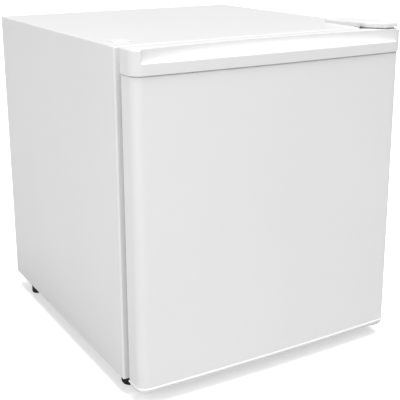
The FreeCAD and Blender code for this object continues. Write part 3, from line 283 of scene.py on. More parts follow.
# %% Zinc plate, aged copper and black enamel
def plated(name, base, second, rough, patch_mm):
    """A plated or drawn metal: one colour drifting to another in patches, and a scuffed gloss."""
    material, tree, shader, place = finish(name, base, rough, Metallic=1.0)
    drift = add(tree, "ShaderNodeTexNoise", {"Vector": place, "Scale": 1000 / patch_mm, "Detail": 4.0})
    scuff = add(tree, "ShaderNodeTexNoise", {"Vector": place, "Scale": 1000 / 2.2, "Detail": 2.0})
    tint(tree, shader, drift.outputs["Fac"], base, second)
    vary(tree, shader, "Roughness", scuff.outputs["Fac"], rough - 0.08, rough + 0.12)
    waves(tree, shader, scuff.outputs["Fac"], 0.012)
    return material


finishes["zinc_steel"] = plated("bright_zinc_plate", "#c9ccce", "#b4b8bb", 0.30, 9.0)
finishes["copper"] = plated("aged_copper_pipe", "#d08a66", "#9c5a3c", 0.30, 18.0)
finishes["black_enamel"] = sprayed_enamel("stoved_black_enamel", "#17181a", "#1e1f21", 0.36, 4.0)

# %% Rolled aluminium
rolled, tree, shader, place = finish("rolled_aluminium", "#d3d6d8", 0.36, Metallic=1.0)
stretch = add(tree, "ShaderNodeMapping", {"Vector": place, "Scale": (40.0, 900.0, 900.0)})
lines = add(tree, "ShaderNodeTexNoise", {"Vector": stretch.outputs["Vector"], "Scale": 1.0, "Detail": 2.0})
tint(tree, shader, lines.outputs["Fac"], "#c6cacd", "#dcdfe0")
vary(tree, shader, "Roughness", lines.outputs["Fac"], 0.28, 0.46)
waves(tree, shader, lines.outputs["Fac"], 0.01)
finishes["aluminium_sheet"] = rolled

# %% [markdown]
# ### Foam and the floor
# The foam between steel and liner is blown polyurethane: cream, with cells that only show where it is
# cut. It is almost wholly hidden. The floor is matt paper with a trace of fibre. White paper would throw
# so much light up that the fridge lost its shading, so the sheet has two sides to it: the camera sees
# lit white paper with a glow of its own, and the fridge gets light off it as from pale grey paper.

# %% Blown foam and paper
foam, tree, shader, place = finish("blown_foam", "#dccb9d", 0.85)
cells = add(tree, "ShaderNodeTexVoronoi", {"Vector": place, "Scale": 1000 / 3.0})
tint(tree, shader, cells.outputs["Distance"], "#cdb985", "#e6d9b4")
waves(tree, shader, cells.outputs["Distance"], 0.4)
finishes["rigid_foam"] = foam
paper, tree, shader, place = finish("matt_white_paper", "#fafafa", 0.9)
fibre = add(tree, "ShaderNodeTexNoise", {"Vector": place, "Scale": 1000 / 12, "Detail": 3.0})
waves(tree, shader, fibre.outputs["Fac"], 0.02)
viewed = add(tree, "ShaderNodeLightPath").outputs["Is Camera Ray"]
tint(tree, shader, viewed, "#cecece", "#fafafa")
paper_glow = 0.45
vary(tree, shader, "Emission Strength", viewed, 0.0, paper_glow)
paper_floor.data.materials.append(paper)

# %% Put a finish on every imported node
slot_of = {part["node"]: part["material_slot"] for part in frame["record"]["subparts"]}
for name, packed in frame["nodes"].items():
    for holder in packed.material_slots:
        holder.material = finishes[slot_of[name]]
print("finishes on", len(frame["nodes"]), "packed nodes")

# %% [markdown]
# ## Shape helpers
# Most of a fridge is sheet or moulding wrapped round a rounded rectangle, so most pieces are lofts: a
# list of rings, each the same outline at its own size and level, joined by quads. Measures are taken
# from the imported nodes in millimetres, and a mesh is scaled to metres when it is made.

# %% Rings, lofts and finished pieces
CREASE_DEGREES = 38


def extent(node):
    """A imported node's box in millimetres: x0, x1, y0, y1, z0, z1."""
    low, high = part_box(node)
    return [corner[axis] / MM for axis in range(3) for corner in (low, high)]


def quarter(centre_a, centre_b, radius, start, steps):
    """Points of a quarter circle in a plane, from an angle in degrees, anticlockwise."""
    angles = [math.radians(start + 90 * step / steps) for step in range(steps + 1)]
    return [(centre_a + radius * math.cos(a), centre_b + radius * math.sin(a)) for a in angles]


def rectangle(x0, x1, u0, u1, radius, level, plane="xy", steps=4):
    """A rounded rectangle in the xy or xz plane; radius is one number or one for each corner."""
    corners = ((x1, u0, -90, -1, 1), (x1, u1, 0, -1, -1), (x0, u1, 90, 1, -1), (x0, u0, 180, 1, 1))
    flat = []
    for (x, u, start, to_x, to_u), r in zip(corners, radius if isinstance(radius, tuple) else (radius,) * 4):
        flat += quarter(x + to_x * r, u + to_u * r, r, start, steps)
    return [(x, u, level) if plane == "xy" else (x, level, u) for x, u in flat]


def soft_outline(corners, radius, inset=0.0, steps=6):
    """A convex plan outline, anticlockwise, drawn in by inset, with its corners rounded."""
    outline = []
    around = [Vector(corner) for corner in corners]
    for before, here, after in zip(around[-1:] + around[:-1], around, around[1:] + around[:1]):
        arrive, leave = (here - before).normalized(), (after - here).normalized()
        inward = [Vector((-way.y, way.x)) for way in (arrive, leave)]
        middle = (inward[0] + inward[1]) / (1 + inward[0].dot(inward[1]))
        if arrive.dot(leave) > 0.9999:
            outline.append(tuple(here + middle * inset))
            continue
        centre, reach = here + middle * (inset + radius), math.acos(arrive.dot(leave))
        first = math.atan2(-inward[0].y, -inward[0].x)
        for step in range(steps + 1):
            turn = first + reach * step / steps
            outline.append((centre.x + radius * math.cos(turn), centre.y + radius * math.sin(turn)))
    return outline


def mesh_piece(name, points, faces, finish_name):
    """An object from points in millimetres, with its faces turned outwards."""
    shape = bmesh.new()
    corners = [shape.verts.new(Vector(point) * MM) for point in points]
    for face in faces:
        shape.faces.new([corners[index] for index in face])
    bmesh.ops.recalc_face_normals(shape, faces=shape.faces)
    mesh = bpy.data.meshes.new(name)
    shape.to_mesh(mesh)
    shape.free()
    mesh.materials.append(finishes[finish_name])
    piece = bpy.data.objects.new(name, mesh)
    bpy.context.scene.collection.objects.link(piece)
    return piece


def loft(name, rings, finish_name, looped=False, ends=(True, True)):
    """Quads between rings of equal length; the last ring may meet the first, and the ends may be filled."""
    count = len(rings[0])
    points = [point for ring in rings for point in ring]
    faces = []
    pairs = list(zip(range(len(rings) - 1), range(1, len(rings)))) + ([(len(rings) - 1, 0)]
            if looped else [])
    for low, high in pairs:
        for index in range(count):
            after = (index + 1) % count
            faces.append((low * count + index, low * count + after, high * count + after,
                          high * count + index))
    if not looped and ends[0]:
        faces.append(tuple(range(count)))
    if not looped and ends[1]:
        faces.append(tuple((len(rings) - 1) * count + index for index in range(count)))
    return mesh_piece(name, points, faces, finish_name)


def open_sheet(rings):
    """Points and faces of a sheet through open rings of equal length."""
    width = len(rings[0])
    faces = [(row * width + i, row * width + i + 1, (row + 1) * width + i + 1, (row + 1) * width + i)
             for row in range(len(rings) - 1) for i in range(width - 1)]
    return [point for ring in rings for point in ring], faces


def modify(piece, kind, **settings):
    """Adds a modifier with its settings."""
    modifier = piece.modifiers.new(kind.lower(), kind)
    for name, setting in settings.items():
        setattr(modifier, name, setting)
    return modifier


def baked(piece):
    """Turns a piece with its modifiers into a plain mesh."""
    bpy.context.view_layer.update()
    shape = bpy.data.meshes.new_from_object(piece.evaluated_get(bpy.context.evaluated_depsgraph_get()))
    piece.modifiers.clear()
    piece.data = shape
    return piece


def fitted(piece, body, slot_name, *nodes, even=True):
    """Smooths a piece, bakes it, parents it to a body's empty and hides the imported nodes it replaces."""
    if even:
        modify(piece, "WEIGHTED_NORMAL", keep_sharp=True)
    piece.data.shade_smooth()
    piece.data.set_sharp_from_angle(angle=math.radians(CREASE_DEGREES))
    baked(piece)
    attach(piece, body)
    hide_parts(*nodes)
    print(f"{piece.name}: {len(piece.data.polygons)} faces, rides on {body}")
    return piece


def joined(name, pieces):
    """Several pieces as one object with one mesh."""
    whole = bmesh.new()
    for piece in pieces:
        whole.from_mesh(piece.data)
    mesh = bpy.data.meshes.new(name)
    whole.to_mesh(mesh)
    whole.free()
    for material in pieces[0].data.materials:
        mesh.materials.append(material)
    for piece in pieces:
        bpy.data.objects.remove(piece)
    result = bpy.data.objects.new(name, mesh)
    bpy.context.scene.collection.objects.link(result)
    return result


def block(name, x, y, z, round_mm, finish_name, segments=2):
    """A box between pairs of millimetres, with all its edges rounded."""
    points = [(a, b, c) for a in x for b in y for c in z]
    faces = [(0, 1, 3, 2), (4, 6, 7, 5), (0, 4, 5, 1), (2, 3, 7, 6), (0, 2, 6, 4), (1, 5, 7, 3)]
    piece = mesh_piece(name, points, faces, finish_name)
    modify(piece, "BEVEL", width=round_mm * MM, segments=segments, limit_method="ANGLE")
    return baked(piece)


def turned(name, profile, centre, finish_name, axis="z", steps=40, flutes=(0, 0.0, ()), hollow=False):
    """A lathe piece: (radius, height) corners about an axis through a point. Chosen rows may be fluted, and
    a hollow piece's last corner meets its first."""
    count, depth, rows = flutes
    rings = []
    for row, (radius, height) in enumerate(profile):
        ring = []
        for step in range(steps):
            angle = math.tau * step / steps
            wide = radius - (depth * (0.5 + 0.5 * math.cos(count * angle)) if row in rows else 0)
            across, up = wide * math.cos(angle), wide * math.sin(angle)
            spot = {"z": (across, up, height), "y": (across, height, up), "x": (height, across, up)}[axis]
            ring.append(tuple(c + s for c, s in zip(centre, spot)))
        rings.append(ring)
    return loft(name, rings, finish_name, looped=hollow)


def carve(piece, tools):
    """Cuts other pieces out of one, and removes them."""
    for tool in tools:
        modify(piece, "BOOLEAN", object=tool, operation="DIFFERENCE", solver="EXACT")
    baked(piece)
    for tool in tools:
        bpy.data.objects.remove(tool)
    return piece


def thicken(piece, sheet, outward=True):
    """Gives an open sheet its thickness behind the face that points away from the middle, or towards it."""
    mesh = piece.data
    centre = sum((vertex.co for vertex in mesh.vertices), Vector()) / len(mesh.vertices)
    facing = sum(face.normal.dot(face.center - centre) * face.area for face in mesh.polygons)
    if (facing > 0) != outward:
        mesh.flip_normals()
    modify(piece, "SOLIDIFY", thickness=sheet * MM, offset=-1)
    return baked(piece)


print("shape helpers ready")

# %% [markdown]
# ## Two node trees
# Bent pipes and wires follow a path of straight runs, and screws, wires and feet repeat. Both are jobs
# for Geometry Nodes: one tree rounds a path's corners and sweeps a circle along it, the other sets a
# copy of a piece on every point. Their sizes are named inputs, so one tree serves many pieces.

# %% The trees, and how a piece is grown by one
def node_tree(name, **sockets):
    """An empty geometry tree whose inputs are named for its sizes, with its input node."""
    tree = bpy.data.node_groups.new(name, "GeometryNodeTree")
    tree.interface.new_socket("Shape", in_out="OUTPUT", socket_type="NodeSocketGeometry")
    for socket, kind in {"Shape": "Geometry", **sockets, "Finish": "Material"}.items():
        tree.interface.new_socket(socket, in_out="INPUT", socket_type="NodeSocket" + kind)
    return tree, add(tree, "NodeGroupInput").outputs


def finish_tree(tree, sizes, shape):
    """Ends a tree: real copies instead of instances, and the finish."""
    solid = add(tree, "GeometryNodeRealizeInstances", {"Geometry": shape})
    painted = add(tree, "GeometryNodeSetMaterial",
                  {"Geometry": solid.outputs[0], "Material": sizes["Finish"]})
    add(tree, "NodeGroupOutput", {"Shape": painted.outputs[0]})


pipe_tree, sizes = node_tree("bent_pipe", Radius="Float", Bend="Float", Sides="Int")
path = add(pipe_tree, "GeometryNodeMeshToCurve", {"Mesh": sizes["Shape"]})
bent = add(pipe_tree, "GeometryNodeFilletCurve",
           {"Curve": path.outputs[0], "Count": 7, "Radius": sizes["Bend"], "Limit Radius": True},
           mode="POLY")
circle = add(pipe_tree, "GeometryNodeCurvePrimitiveCircle",
             {"Resolution": sizes["Sides"], "Radius": sizes["Radius"]})
swept = add(pipe_tree, "GeometryNodeCurveToMesh",
            {"Curve": bent.outputs[0], "Profile Curve": circle.outputs[0], "Fill Caps": True})
finish_tree(pipe_tree, sizes, swept.outputs[0])

copy_tree, sizes = node_tree("copies_on_points", Copied="Object", Turn="Rotation")
source = add(copy_tree, "GeometryNodeObjectInfo", {"Object": sizes["Copied"]})
copies = add(copy_tree, "GeometryNodeInstanceOnPoints",
             {"Points": sizes["Shape"], "Instance": source.outputs["Geometry"], "Rotation": sizes["Turn"]})
finish_tree(copy_tree, sizes, copies.outputs[0])


def grown(name, tree, finish_name, points, edges=(), **settings):
    """A piece grown by a tree from points in millimetres, turned into a plain mesh."""
    seed = bpy.data.meshes.new(name)
    seed.from_pydata([Vector(point) * MM for point in points], list(edges), [])
    piece = bpy.data.objects.new(name, seed)
    bpy.context.scene.collection.objects.link(piece)
    modifier = modify(piece, "NODES", node_group=tree)
    sockets = {item.name: item.identifier for item in tree.interface.items_tree if item.in_out == "INPUT"}
    for socket, setting in {**settings, "Finish": finishes[finish_name]}.items():
        modifier[sockets[socket]] = setting
    return baked(piece)


def pipe(name, points, radius, bend, finish_name, sides=16, looped=False):
    """A round bar or pipe along a path of corners, with one bend radius."""
    steps = len(points)
    edges = [(n, n + 1) for n in range(steps - 1)] + ([(steps - 1, 0)] if looped else [])
    return grown(name, pipe_tree, finish_name, points, edges, Radius=radius * MM, Bend=bend * MM,
                 Sides=sides)


def copies_of(piece, points, finish_name, turn=(0.0, 0.0, 0.0)):
    """Copies of a piece on points in millimetres, as one mesh; the first one is removed."""
    made = grown(piece.name + "_set", copy_tree, finish_name, points, Copied=piece, Turn=turn)
    bpy.data.objects.remove(piece)
    return made


print("node trees:", pipe_tree.name, copy_tree.name)

# %% [markdown]
# ## The steel wrap
# One sheet is folded over the top and down both flanks, then turned in at the front and the back. Its
# section is an upside-down U. Sections at many stations along the depth, each drawn in by a little,
# give the rolled front edge, the low band behind it and the rear flange in one clean sheet.

# %% Steel wrap
wrap_x0, wrap_x1, wrap_front, wrap_back, wrap_low, wrap_top = extent("outer_wrap")
fold_r, front_fold, rear_fold, sheet_mm = 2.5, 30.0, 12.0, 1.2
hinge_x, hinge_y = [sum(extent("top_hinge_pin")[at:at + 2]) / 2 for at in (0, 2)]
TOP_SCREWS = [(hinge_x - 16, hinge_y + 40), (hinge_x + 6, hinge_y + 40), (hinge_x - 5, hinge_y + 66)]
band_deep, band_drop = 13.0, 0.5


def wrap_section(y, inset, drop=0.0):
    """The wrap's U-shaped outline at one depth, drawn in by inset."""
    radius = max(fold_r - inset, 0.5)
    left, right, top = wrap_x0 + inset, wrap_x1 - inset, wrap_top - inset - drop
    arc = quarter(right - radius, top - radius, radius, 0, 4) + quarter(left + radius, top - radius, radius,
            90, 4)
    return [(right, y, wrap_low)] + [(x, y, z) for x, z in arc] + [(left, y, wrap_low)]


roll = [math.radians(90 * step / 4) for step in range(5)]
roll = [(fold_r * (1 - math.sin(turn)), fold_r * (1 - math.cos(turn))) for turn in roll]
stations = [(wrap_front, front_fold, band_drop)]
stations += [(wrap_front + depth, inset, band_drop) for depth, inset in reversed(roll)]
stations += [(wrap_front + band_deep - 1, 0, band_drop * 0.8), (wrap_front + band_deep + 1, 0, 0)]
stations += [(wrap_back - depth, inset, 0) for depth, inset in roll] + [(wrap_back, rear_fold, 0)]
outlines = [wrap_section(*station) for station in stations]
steel_wrap = mesh_piece("steel_wrap", *open_sheet(outlines), "white_enamel")
thicken(steel_wrap, sheet_mm)
hole_r, tool_reach = 3.3, 6
hole_profile = [(hole_r, wrap_top - tool_reach), (hole_r, wrap_top + tool_reach)]
carve(steel_wrap, [turned("hole_tool", hole_profile, (x, y, 0), "white_enamel") for x, y in TOP_SCREWS])
fitted(steel_wrap, "cabinet", "white_enamel", "outer_wrap")

# %% [markdown]
# ## The door's steel skin
# The skin is one enamelled sheet: flat at the back, rounded at its two front corners and bowed 4 mm
# across its width, which is what gives a plain white door its slow change of shade. It is drawn as a
# plan outline, lofted from bottom to top, with a short return turned in behind the gasket. Its top steps
# in by half a millimetre to leave a joint under the cap. The joint's shade is painted: a grey strip
# stands in it as a painted shadow line. It is one more sheet along the same outline.

# %% Door skin
_, door_x1, door_front, door_back, skin_low, skin_high = extent("door_panel")
door_half, door_bow, door_r, skin_mm = door_x1, 4.0, 13.0, 0.8
edge_front = door_front + door_bow


def bow_at(x):
    """How far the door's front stands forward of its two edges."""
    return door_bow * (1 - min(abs(x) / door_half, 1.0) ** 2)


def door_outline(grow, back, across=28, steps=8):
    """The door's plan from its back left corner round the front to its back right corner."""
    half, radius = door_half + grow, door_r + grow
    left = quarter(-half + radius, edge_front - grow + radius, radius, 180, steps)
    left = [(x, y - bow_at(x)) for x, y in left]
    span = 2 * (half - radius)
    middle = [(-half + radius + span * n / across) for n in range(1, across)]
    front = [(x, edge_front - grow - bow_at(x)) for x in middle]
    right = [(-x, y) for x, y in reversed(left)]
    return [(-half, back)] + left + front + right + [(half, back)]


def door_sheet(levels, back, lead=(), tail=()):
    """An open sheet along the door's plan, from (growth, height) levels; lead and tail are its returns."""
    return open_sheet([[(x, y, z) for x, y in [*lead, *door_outline(grow, back), *tail]]
                       for grow, z in levels])


lead = [(-door_half + 9, door_back), (-door_half + 0.8, door_back)]
tail = [(-x, y) for x, y in reversed(lead)]
groove_top = extent("door_top_cap")[4]
groove_low, groove_deep = groove_top - 2.2, 0.5
levels = [(0.0, skin_low + (groove_low - skin_low) * n / 6) for n in range(7)]
levels += [(-groove_deep, groove_low + 0.4), (-groove_deep, skin_high)]
door_skin = mesh_piece("door_skin", *door_sheet(levels, door_back + 0.8, lead, tail), "white_enamel")
thicken(door_skin, skin_mm)
fitted(door_skin, "door", "white_enamel", "door_panel")

# painted shadow line: a thin grey vinyl strip in the joint under the cap stands in for the shade there
shadow_strip_grow = 0.15 - groove_deep
shadow_strip_levels = [(shadow_strip_grow - 0.1, groove_top - 1.5), (shadow_strip_grow, groove_top - 1.4),
               (shadow_strip_grow, groove_top - 0.1), (shadow_strip_grow - 0.1, groove_top)]
painted_shadow_strip = mesh_piece("cap_joint_bead", *door_sheet(shadow_strip_levels, door_back + 0.9), "gasket_vinyl")
fitted(painted_shadow_strip, "door", "gasket_vinyl")

# %% [markdown]
# ## The top cap
# A thick ABS moulding closes the skin's top and carries the grip: a finger scoop that runs almost the
# whole width, shallow at both ends and deepest in the middle, with a flat wall at each end. It is built
# as sections across the door. Each section is the same chain of points, so that where the scoop stops,
# its curve only has to straighten into the plain front face.

# %% Top cap with its finger scoop
_, cap_x1, _, cap_back, cap_low, cap_top = extent("door_top_cap")
cap_over = cap_x1 - door_half
cap_r = door_r + cap_over
bore_r, bore_deep, bore_past = 6.55, 19, 5
scoop_half, scoop_high, scoop_deep, scoop_shallow, lip_r, scoop_steps = 204.6, 16.6, 24.0, 4.0, 0.9, 12


def cap_front(x):
    """The y of the cap's front face at one place across the door."""
    over = max(abs(x) - (cap_x1 - cap_r), 0.0)
    return edge_front - cap_over - bow_at(x) + cap_r - math.sqrt(max(cap_r ** 2 - over ** 2, 0.0))


def cap_section(x, scooped):
    """One section in y and z: under edge, front face, then scoop or plain corner, then back."""
    front, lip = cap_front(x), cap_top - scoop_high
    chain = [(cap_back, cap_low), (front + 0.8, cap_low), (front, cap_low + 0.8), (front, lip - lip_r)]
    if scooped:
        reach = scoop_shallow + (scoop_deep - scoop_shallow) * (1 - (x / scoop_half) ** 2)
        for step in range(scoop_steps + 1):
            turn = math.radians(90 * step / scoop_steps)
            chain.append((front + lip_r + (reach - lip_r) * math.sin(turn),
                          cap_top - scoop_high * math.cos(turn)))
    else:
        for step in range(scoop_steps):
            chain.append((front, lip + (scoop_high - 1.2) * step / (scoop_steps - 1)))
        chain.append((front + 1.2, cap_top))
    return [(x, y, z) for y, z in chain + [(cap_back - 1.0, cap_top), (cap_back, cap_top - 1.0)]]


def bush_bore(x, low, high):
    """A cutter for one hinge bush's bore."""
    return turned("bore_tool", [(bore_r, low), (bore_r, high)], (x, hinge_y, 0), "white_abs")


ends = [cap_x1 - cap_r * (1 - math.sin(math.radians(90 * n / 8))) for n in range(9)]
plain = [x for x in ends if x > scoop_half + 0.6] + [scoop_half + 0.4]
plain.sort()
inner = [scoop_half * n / 30 for n in range(-30, 31)]
cap_sections = [cap_section(-x, False) for x in reversed(plain)]
cap_sections += [cap_section(x, True) for x in inner]
cap_sections += [cap_section(x, False) for x in plain]
top_cap = loft("top_cap_with_scoop", cap_sections, "white_abs")
carve(top_cap, [bush_bore(x, cap_top - bore_deep, cap_top + bore_past) for x in (-hinge_x, hinge_x)])
modify(top_cap, "BEVEL", width=0.5 * MM, segments=2, limit_method="ANGLE", angle_limit=math.radians(50))
fitted(top_cap, "door", "white_abs", "door_top_cap")

# %% [markdown]
# ## The bottom cap
# Below the skin a thin lip stands 2 mm proud, and its upper face slopes, so that it catches the light as
# one bright line. Under it the cap steps back to a plain band, and at each hinge place a low pad
# thickens it for the bush.

# %% Bottom cap with lip, band and pads
foot_low, foot_high = extent("door_bottom_cap")[4:]
band_low = foot_low + 1.4
lip_levels = [(-1.8, band_low), (-0.7, band_low + 0.7), (-0.6, foot_high - 3.4), (-0.4, foot_high - 2.9),
              (1.2, foot_high - 2.8), (2.0, foot_high - 2.2), (2.0, foot_high - 1.2), (0.6, foot_high)]

rings = [[(x, y, z) for x, y in door_outline(grow, door_back)] for grow, z in lip_levels]
band = loft("bottom_cap_band", rings, "white_abs")
through = (foot_low - bore_past, foot_high + bore_past)
parts = [carve(band, [bush_bore(x, *through) for x in (-hinge_x, hinge_x)])]
pad_out, pad_in, pad_front, pad_back, pad_r = 9, 21, 14, 12, 7
outline = [(1.2, foot_low), (0.0, foot_low + 0.8), (0.0, band_low + 1.2)]
for x, x0, x1 in ((-hinge_x, -hinge_x - pad_out, -hinge_x + pad_in),
                  (hinge_x, hinge_x - pad_in, hinge_x + pad_out)):
    rings = [rectangle(x0 + i, x1 - i, hinge_y - pad_front + i, hinge_y + pad_back - i, pad_r - i, z)
             for i, z in outline]
    parts.append(carve(loft("pad", rings, "white_abs"), [bush_bore(x, *through)]))
bottom_cap = joined("bottom_cap", parts)
fitted(bottom_cap, "door", "white_abs", "door_bottom_cap")

# %% [markdown]
# ## The gasket
# The seal between door and cabinet is soft vinyl, extruded as a hollow section: a flat base, two bellows
# folds that let it stretch, and a nose that holds a magnetic strip. Only its edge shows when the door is
# shut, as a grey line with fine ridges. Its section is swept round the door, and meets itself.

# %% Bellows gasket
seal_x0, seal_x1, seal_back, seal_face, seal_low, seal_high = extent("door_gasket")
seal_deep = seal_face - seal_back
folds = [(0.0, 0.0), (0.0, 0.09), (1.9, 0.17), (0.5, 0.27), (0.5, 0.33), (2.6, 0.43), (1.1, 0.52),
         (1.4, 0.58),
         (6.9, 0.62), (7.5, 0.70), (7.5, 0.93), (8.0, 1.0), (24.4, 1.0), (25.0, 0.93), (25.0, 0.62),
         (24.0, 0.55),
         (25.0, 0.45), (24.2, 0.30), (25.0, 0.18), (25.0, 0.0)]
rings = [rectangle(seal_x0 + i, seal_x1 - i, seal_low + i, seal_high - i, max(5 - i, 1.0),
                   seal_back + share * seal_deep, "xz") for i, share in folds]
bellows = loft("bellows_gasket", rings, "gasket_vinyl", looped=True)
fitted(bellows, "door", "gasket_vinyl", "door_gasket", even=False)

# %% [markdown]
# ## The hinge cover and the blank
# The top bracket hides under a long low cover, open on its underside, whose slanted nose floats 2.4 mm
# over the door so that the cap can pass beneath it. Its top slopes down to the back. It is a shell lofted
# from one soft outline whose height follows the slope.

# %% Hinge cover
cover_x0, cover_x1, cover_y0, cover_y1, cover_low, cover_high = extent("hinge_cover")
cover_drop, over_door, cover_wall, nose_x, nose_y, crown_r = 4.0, 1.55, 1.5, 20.0, 26.0, 4.2
step_y = (wrap_front + 1.0, wrap_front + 0.4)
cover_plan = [(cover_x1, cover_y0), (cover_x1, step_y[1]), (cover_x1, step_y[0]), (cover_x1, cover_y1),
              (cover_x0, cover_y1),
              (cover_x0, step_y[0]), (cover_x0, step_y[1]), (cover_x0, cover_y0 + nose_y),
              (cover_x0 + nose_x, cover_y0)]


def cover_ring(inset, height_share, under):
    """A ring of the cover: from its lower edge (share 0) to its sloping top (share 1), less under."""
    ring = []
    for x, y in soft_outline(cover_plan, max(9 - inset, 2.0), inset):
        foot = cover_low + (over_door if y < wrap_front + 0.7 else 0.0)
        crest = cover_high - cover_drop * (y - cover_y0) / (cover_y1 - cover_y0) - under
        ring.append((x, y, foot + (crest - foot) * height_share))
    return ring


shell = [cover_ring(0.0, 0.0, 0.0), cover_ring(0.0, 1.0, crown_r)]
for step in range(1, 7):
    turn = math.radians(90 * step / 6)
    shell.append(cover_ring(crown_r * (1 - math.cos(turn)), 1.0, crown_r * (1 - math.sin(turn))))
inside = [cover_ring(cover_wall + 2.0, 1.0, cover_wall), cover_ring(cover_wall, 1.0, cover_wall + 2.0),
          cover_ring(cover_wall, 0.0, 0.0)]
outer_skin = loft("hinge_cover_shell", shell, "white_abs", ends=(False, True))
inner_skin = loft("inner_skin", inside, "white_abs", ends=(True, False))
inner_skin.data.flip_normals()
rim = loft("rim", [shell[0], inside[-1]], "white_abs", ends=(False, False))
hinge_shell = joined("hinge_cover_shell", [outer_skin, inner_skin, rim])
weld = bmesh.new()
weld.from_mesh(hinge_shell.data)
bmesh.ops.remove_doubles(weld, verts=weld.verts, dist=0.01 * MM)
bmesh.ops.recalc_face_normals(weld, faces=weld.faces)
weld.to_mesh(hinge_shell.data)
weld.free()
fitted(hinge_shell, "cabinet", "white_abs", "hinge_cover")

# %% Blank over the spare hinge holes
blank_x0, blank_x1, blank_y0, blank_y1, blank_low, blank_high = extent("left_hinge_blank")
levels = [(0.0, blank_low), (0.0, blank_high - 0.5), (0.5, blank_high)]
rings = [rectangle(blank_x0 + i, blank_x1 - i, blank_y0 + i, blank_y1 - i, 2.0, z) for i, z in levels]
fitted(loft("left_blank", rings, "white_abs"), "cabinet", "white_abs", "left_hinge_blank")

# %% [markdown]
# ## The cabinet liner
# A sheet of polystyrene is heated and sucked over a tool, which leaves soft corners, a flange that
# tucks behind the steel, and a step where the compressor sits behind. Rings run from the flange into the
# tub. At the step only their lower edge climbs. The shelf's runners are formed ridges on both walls.

# %% Cabinet liner
liner_x0, liner_x1, liner_front, liner_back, liner_low, liner_high = extent("inner_liner")
liner_mm, cavity_half, cavity_low, cavity_high, tub_r, mouth_r = 2.0, 181.0, 66.0, 446.0, 12.0, 3.0
hump_front, hump_top, hump_draft, step_r = 47.5, 208.0, 0.3, 4.0
cavity_back = liner_back - liner_mm


def tub_ring(y, inset, low=cavity_low):
    """A ring of the tub at one depth, drawn in by inset, with its floor at one level."""
    return rectangle(-cavity_half + inset, cavity_half - inset, low + inset, cavity_high - inset,
                     max(tub_r - inset, 1.0), y, "xz", 6)


turns = [math.radians(90 * n / 5) for n in range(6)]
rings = [rectangle(liner_x0, liner_x1, liner_low, liner_high, 4, liner_front, "xz", 6)]
rings += [tub_ring(liner_front + mouth_r * (1 - math.cos(t)), -mouth_r * (1 - math.sin(t))) for t in turns]
rings += [tub_ring(hump_front - hump_draft - tub_r * (1 - math.sin(t)), 0,
                   cavity_low + tub_r * (1 - math.cos(t)))
          for t in turns]
rings += [tub_ring(hump_front + hump_draft + step_r * (1 - math.cos(t)), 0,
                   hump_top - step_r * (1 - math.sin(t)))
          for t in turns]
rings += [tub_ring(cavity_back - tub_r * (1 - math.sin(t)), tub_r * (1 - math.cos(t)) * 0.9, hump_top)
          for t in turns]
tub = loft("cabinet_liner", rings, "liner_hips", ends=(False, True))
thicken(tub, liner_mm, outward=False)
shelf_y0 = extent("wire_shelf")[2]
shelf_z = 214.0
ridges = []
for side in (-1, 1):
    for low, high in ((shelf_z - 8.0, shelf_z - 2.8), (shelf_z + 2.8, shelf_z + 7.0)):
        span = sorted((side * (cavity_half - 10), side * (cavity_half + 1)))
        ridges.append(block("ridge", span, (shelf_y0 - 16, cavity_back - 12), (low, high), 1.6,
                            "liner_hips"))
fitted(joined("cabinet_liner", [tub] + ridges), "cabinet", "liner_hips", "inner_liner")

# %% [markdown]
# ## The door liner
# The door's inner face is formed the same way. A flat margin carries the gasket, a raised dyke runs
# round inside it, and between the dyke's sides lies the shallow bay that holds the racks. One loft does
# it: rings step from the margin up the dyke, over its rounded crest and down into the bay.

# %% Door liner
pan_x0, pan_x1, pan_back, pan_crest, pan_low, pan_high = extent("door_liner")
margin_y, dyke_half, dyke_low, dyke_high, bay_half, bay_low, bay_high, bay_y = (
    pan_back + 2.0, 172.0, 72.0, 440.0, 150.0, 86.0, 418.0, -201.5)


def pan_ring(share, y, grow=0.0):
    """A ring between the dyke's foot (share 0) and the bay (share 1)."""
    half = dyke_half + (bay_half - dyke_half) * share + grow
    low = dyke_low + (bay_low - dyke_low) * share - grow
    high = dyke_high + (bay_high - dyke_high) * share + grow
    return rectangle(-half, half, low, high, max(9 - 4 * share + grow, 1.0), y, "xz", 5)


rings = [rectangle(pan_x0 + i, pan_x1 - i, pan_low + i, pan_high - i, 6 - i, y, "xz", 5)
         for i, y in ((0.0, pan_back), (0.0, margin_y - 0.7), (0.7, margin_y))]
rings += [pan_ring(0, margin_y + 3 * (1 - math.cos(t)), 3 * (1 - math.sin(t))) for t in turns]
crest = [(0.5 - 0.5 * math.cos(math.pi * n / 10), math.sin(math.pi * n / 10)) for n in range(11)]
rings += [pan_ring(share, pan_crest - 7 + 7 * rise ** 0.6) for share, rise in crest]
rings += [pan_ring(1, bay_y + 4 * (1 - math.sin(t)), -4 * (1 - math.cos(t))) for t in turns]
fitted(loft("door_liner_pan", rings, "liner_hips"), "door", "liner_hips", "door_liner")

# %% [markdown]
# ## The door racks
# Each rack is an open moulded tub with a band along its rim: the wall steps out by a millimetre at the
# band and ends in a rounded bead, which keeps a thin wall stiff. The rings go up the outside, over the
# bead and down the inside.

# %% Racks
def rack(name, node, band):
    """One rack, from its node's box and the height of its rim band."""
    x0, x1, y0, y1, low, high = extent(node)
    profile = [(4.2, low), (2.6, low + 0.6), (1.8, low + 2.2), (1.3, high - band - 2),
               (0.5, high - band - 1),
               (0.1, high - band), (0.0, high - 1.8), (0.3, high - 0.7), (1.2, high), (2.1, high - 0.6),
               (2.5, high - 1.8), (2.6, high - band), (3.7, high - band - 2), (4.2, low + 5), (5.2, low + 3),
               (7.5, low + 2.4)]
    rings = [rectangle(x0 + i, x1 - i, y0 + min(i, 2.4), y1 - i, (2.0, 10 - min(i, 6), 10 - min(i, 6), 2.0),
                       z)
             for i, z in profile]
    piece = loft(name, rings, "rack_plastic")
    fitted(piece, "door", "rack_plastic", node)


rack("bottle_rack", "lower_door_rack", 16)
rack("small_rack", "upper_door_rack", 13)

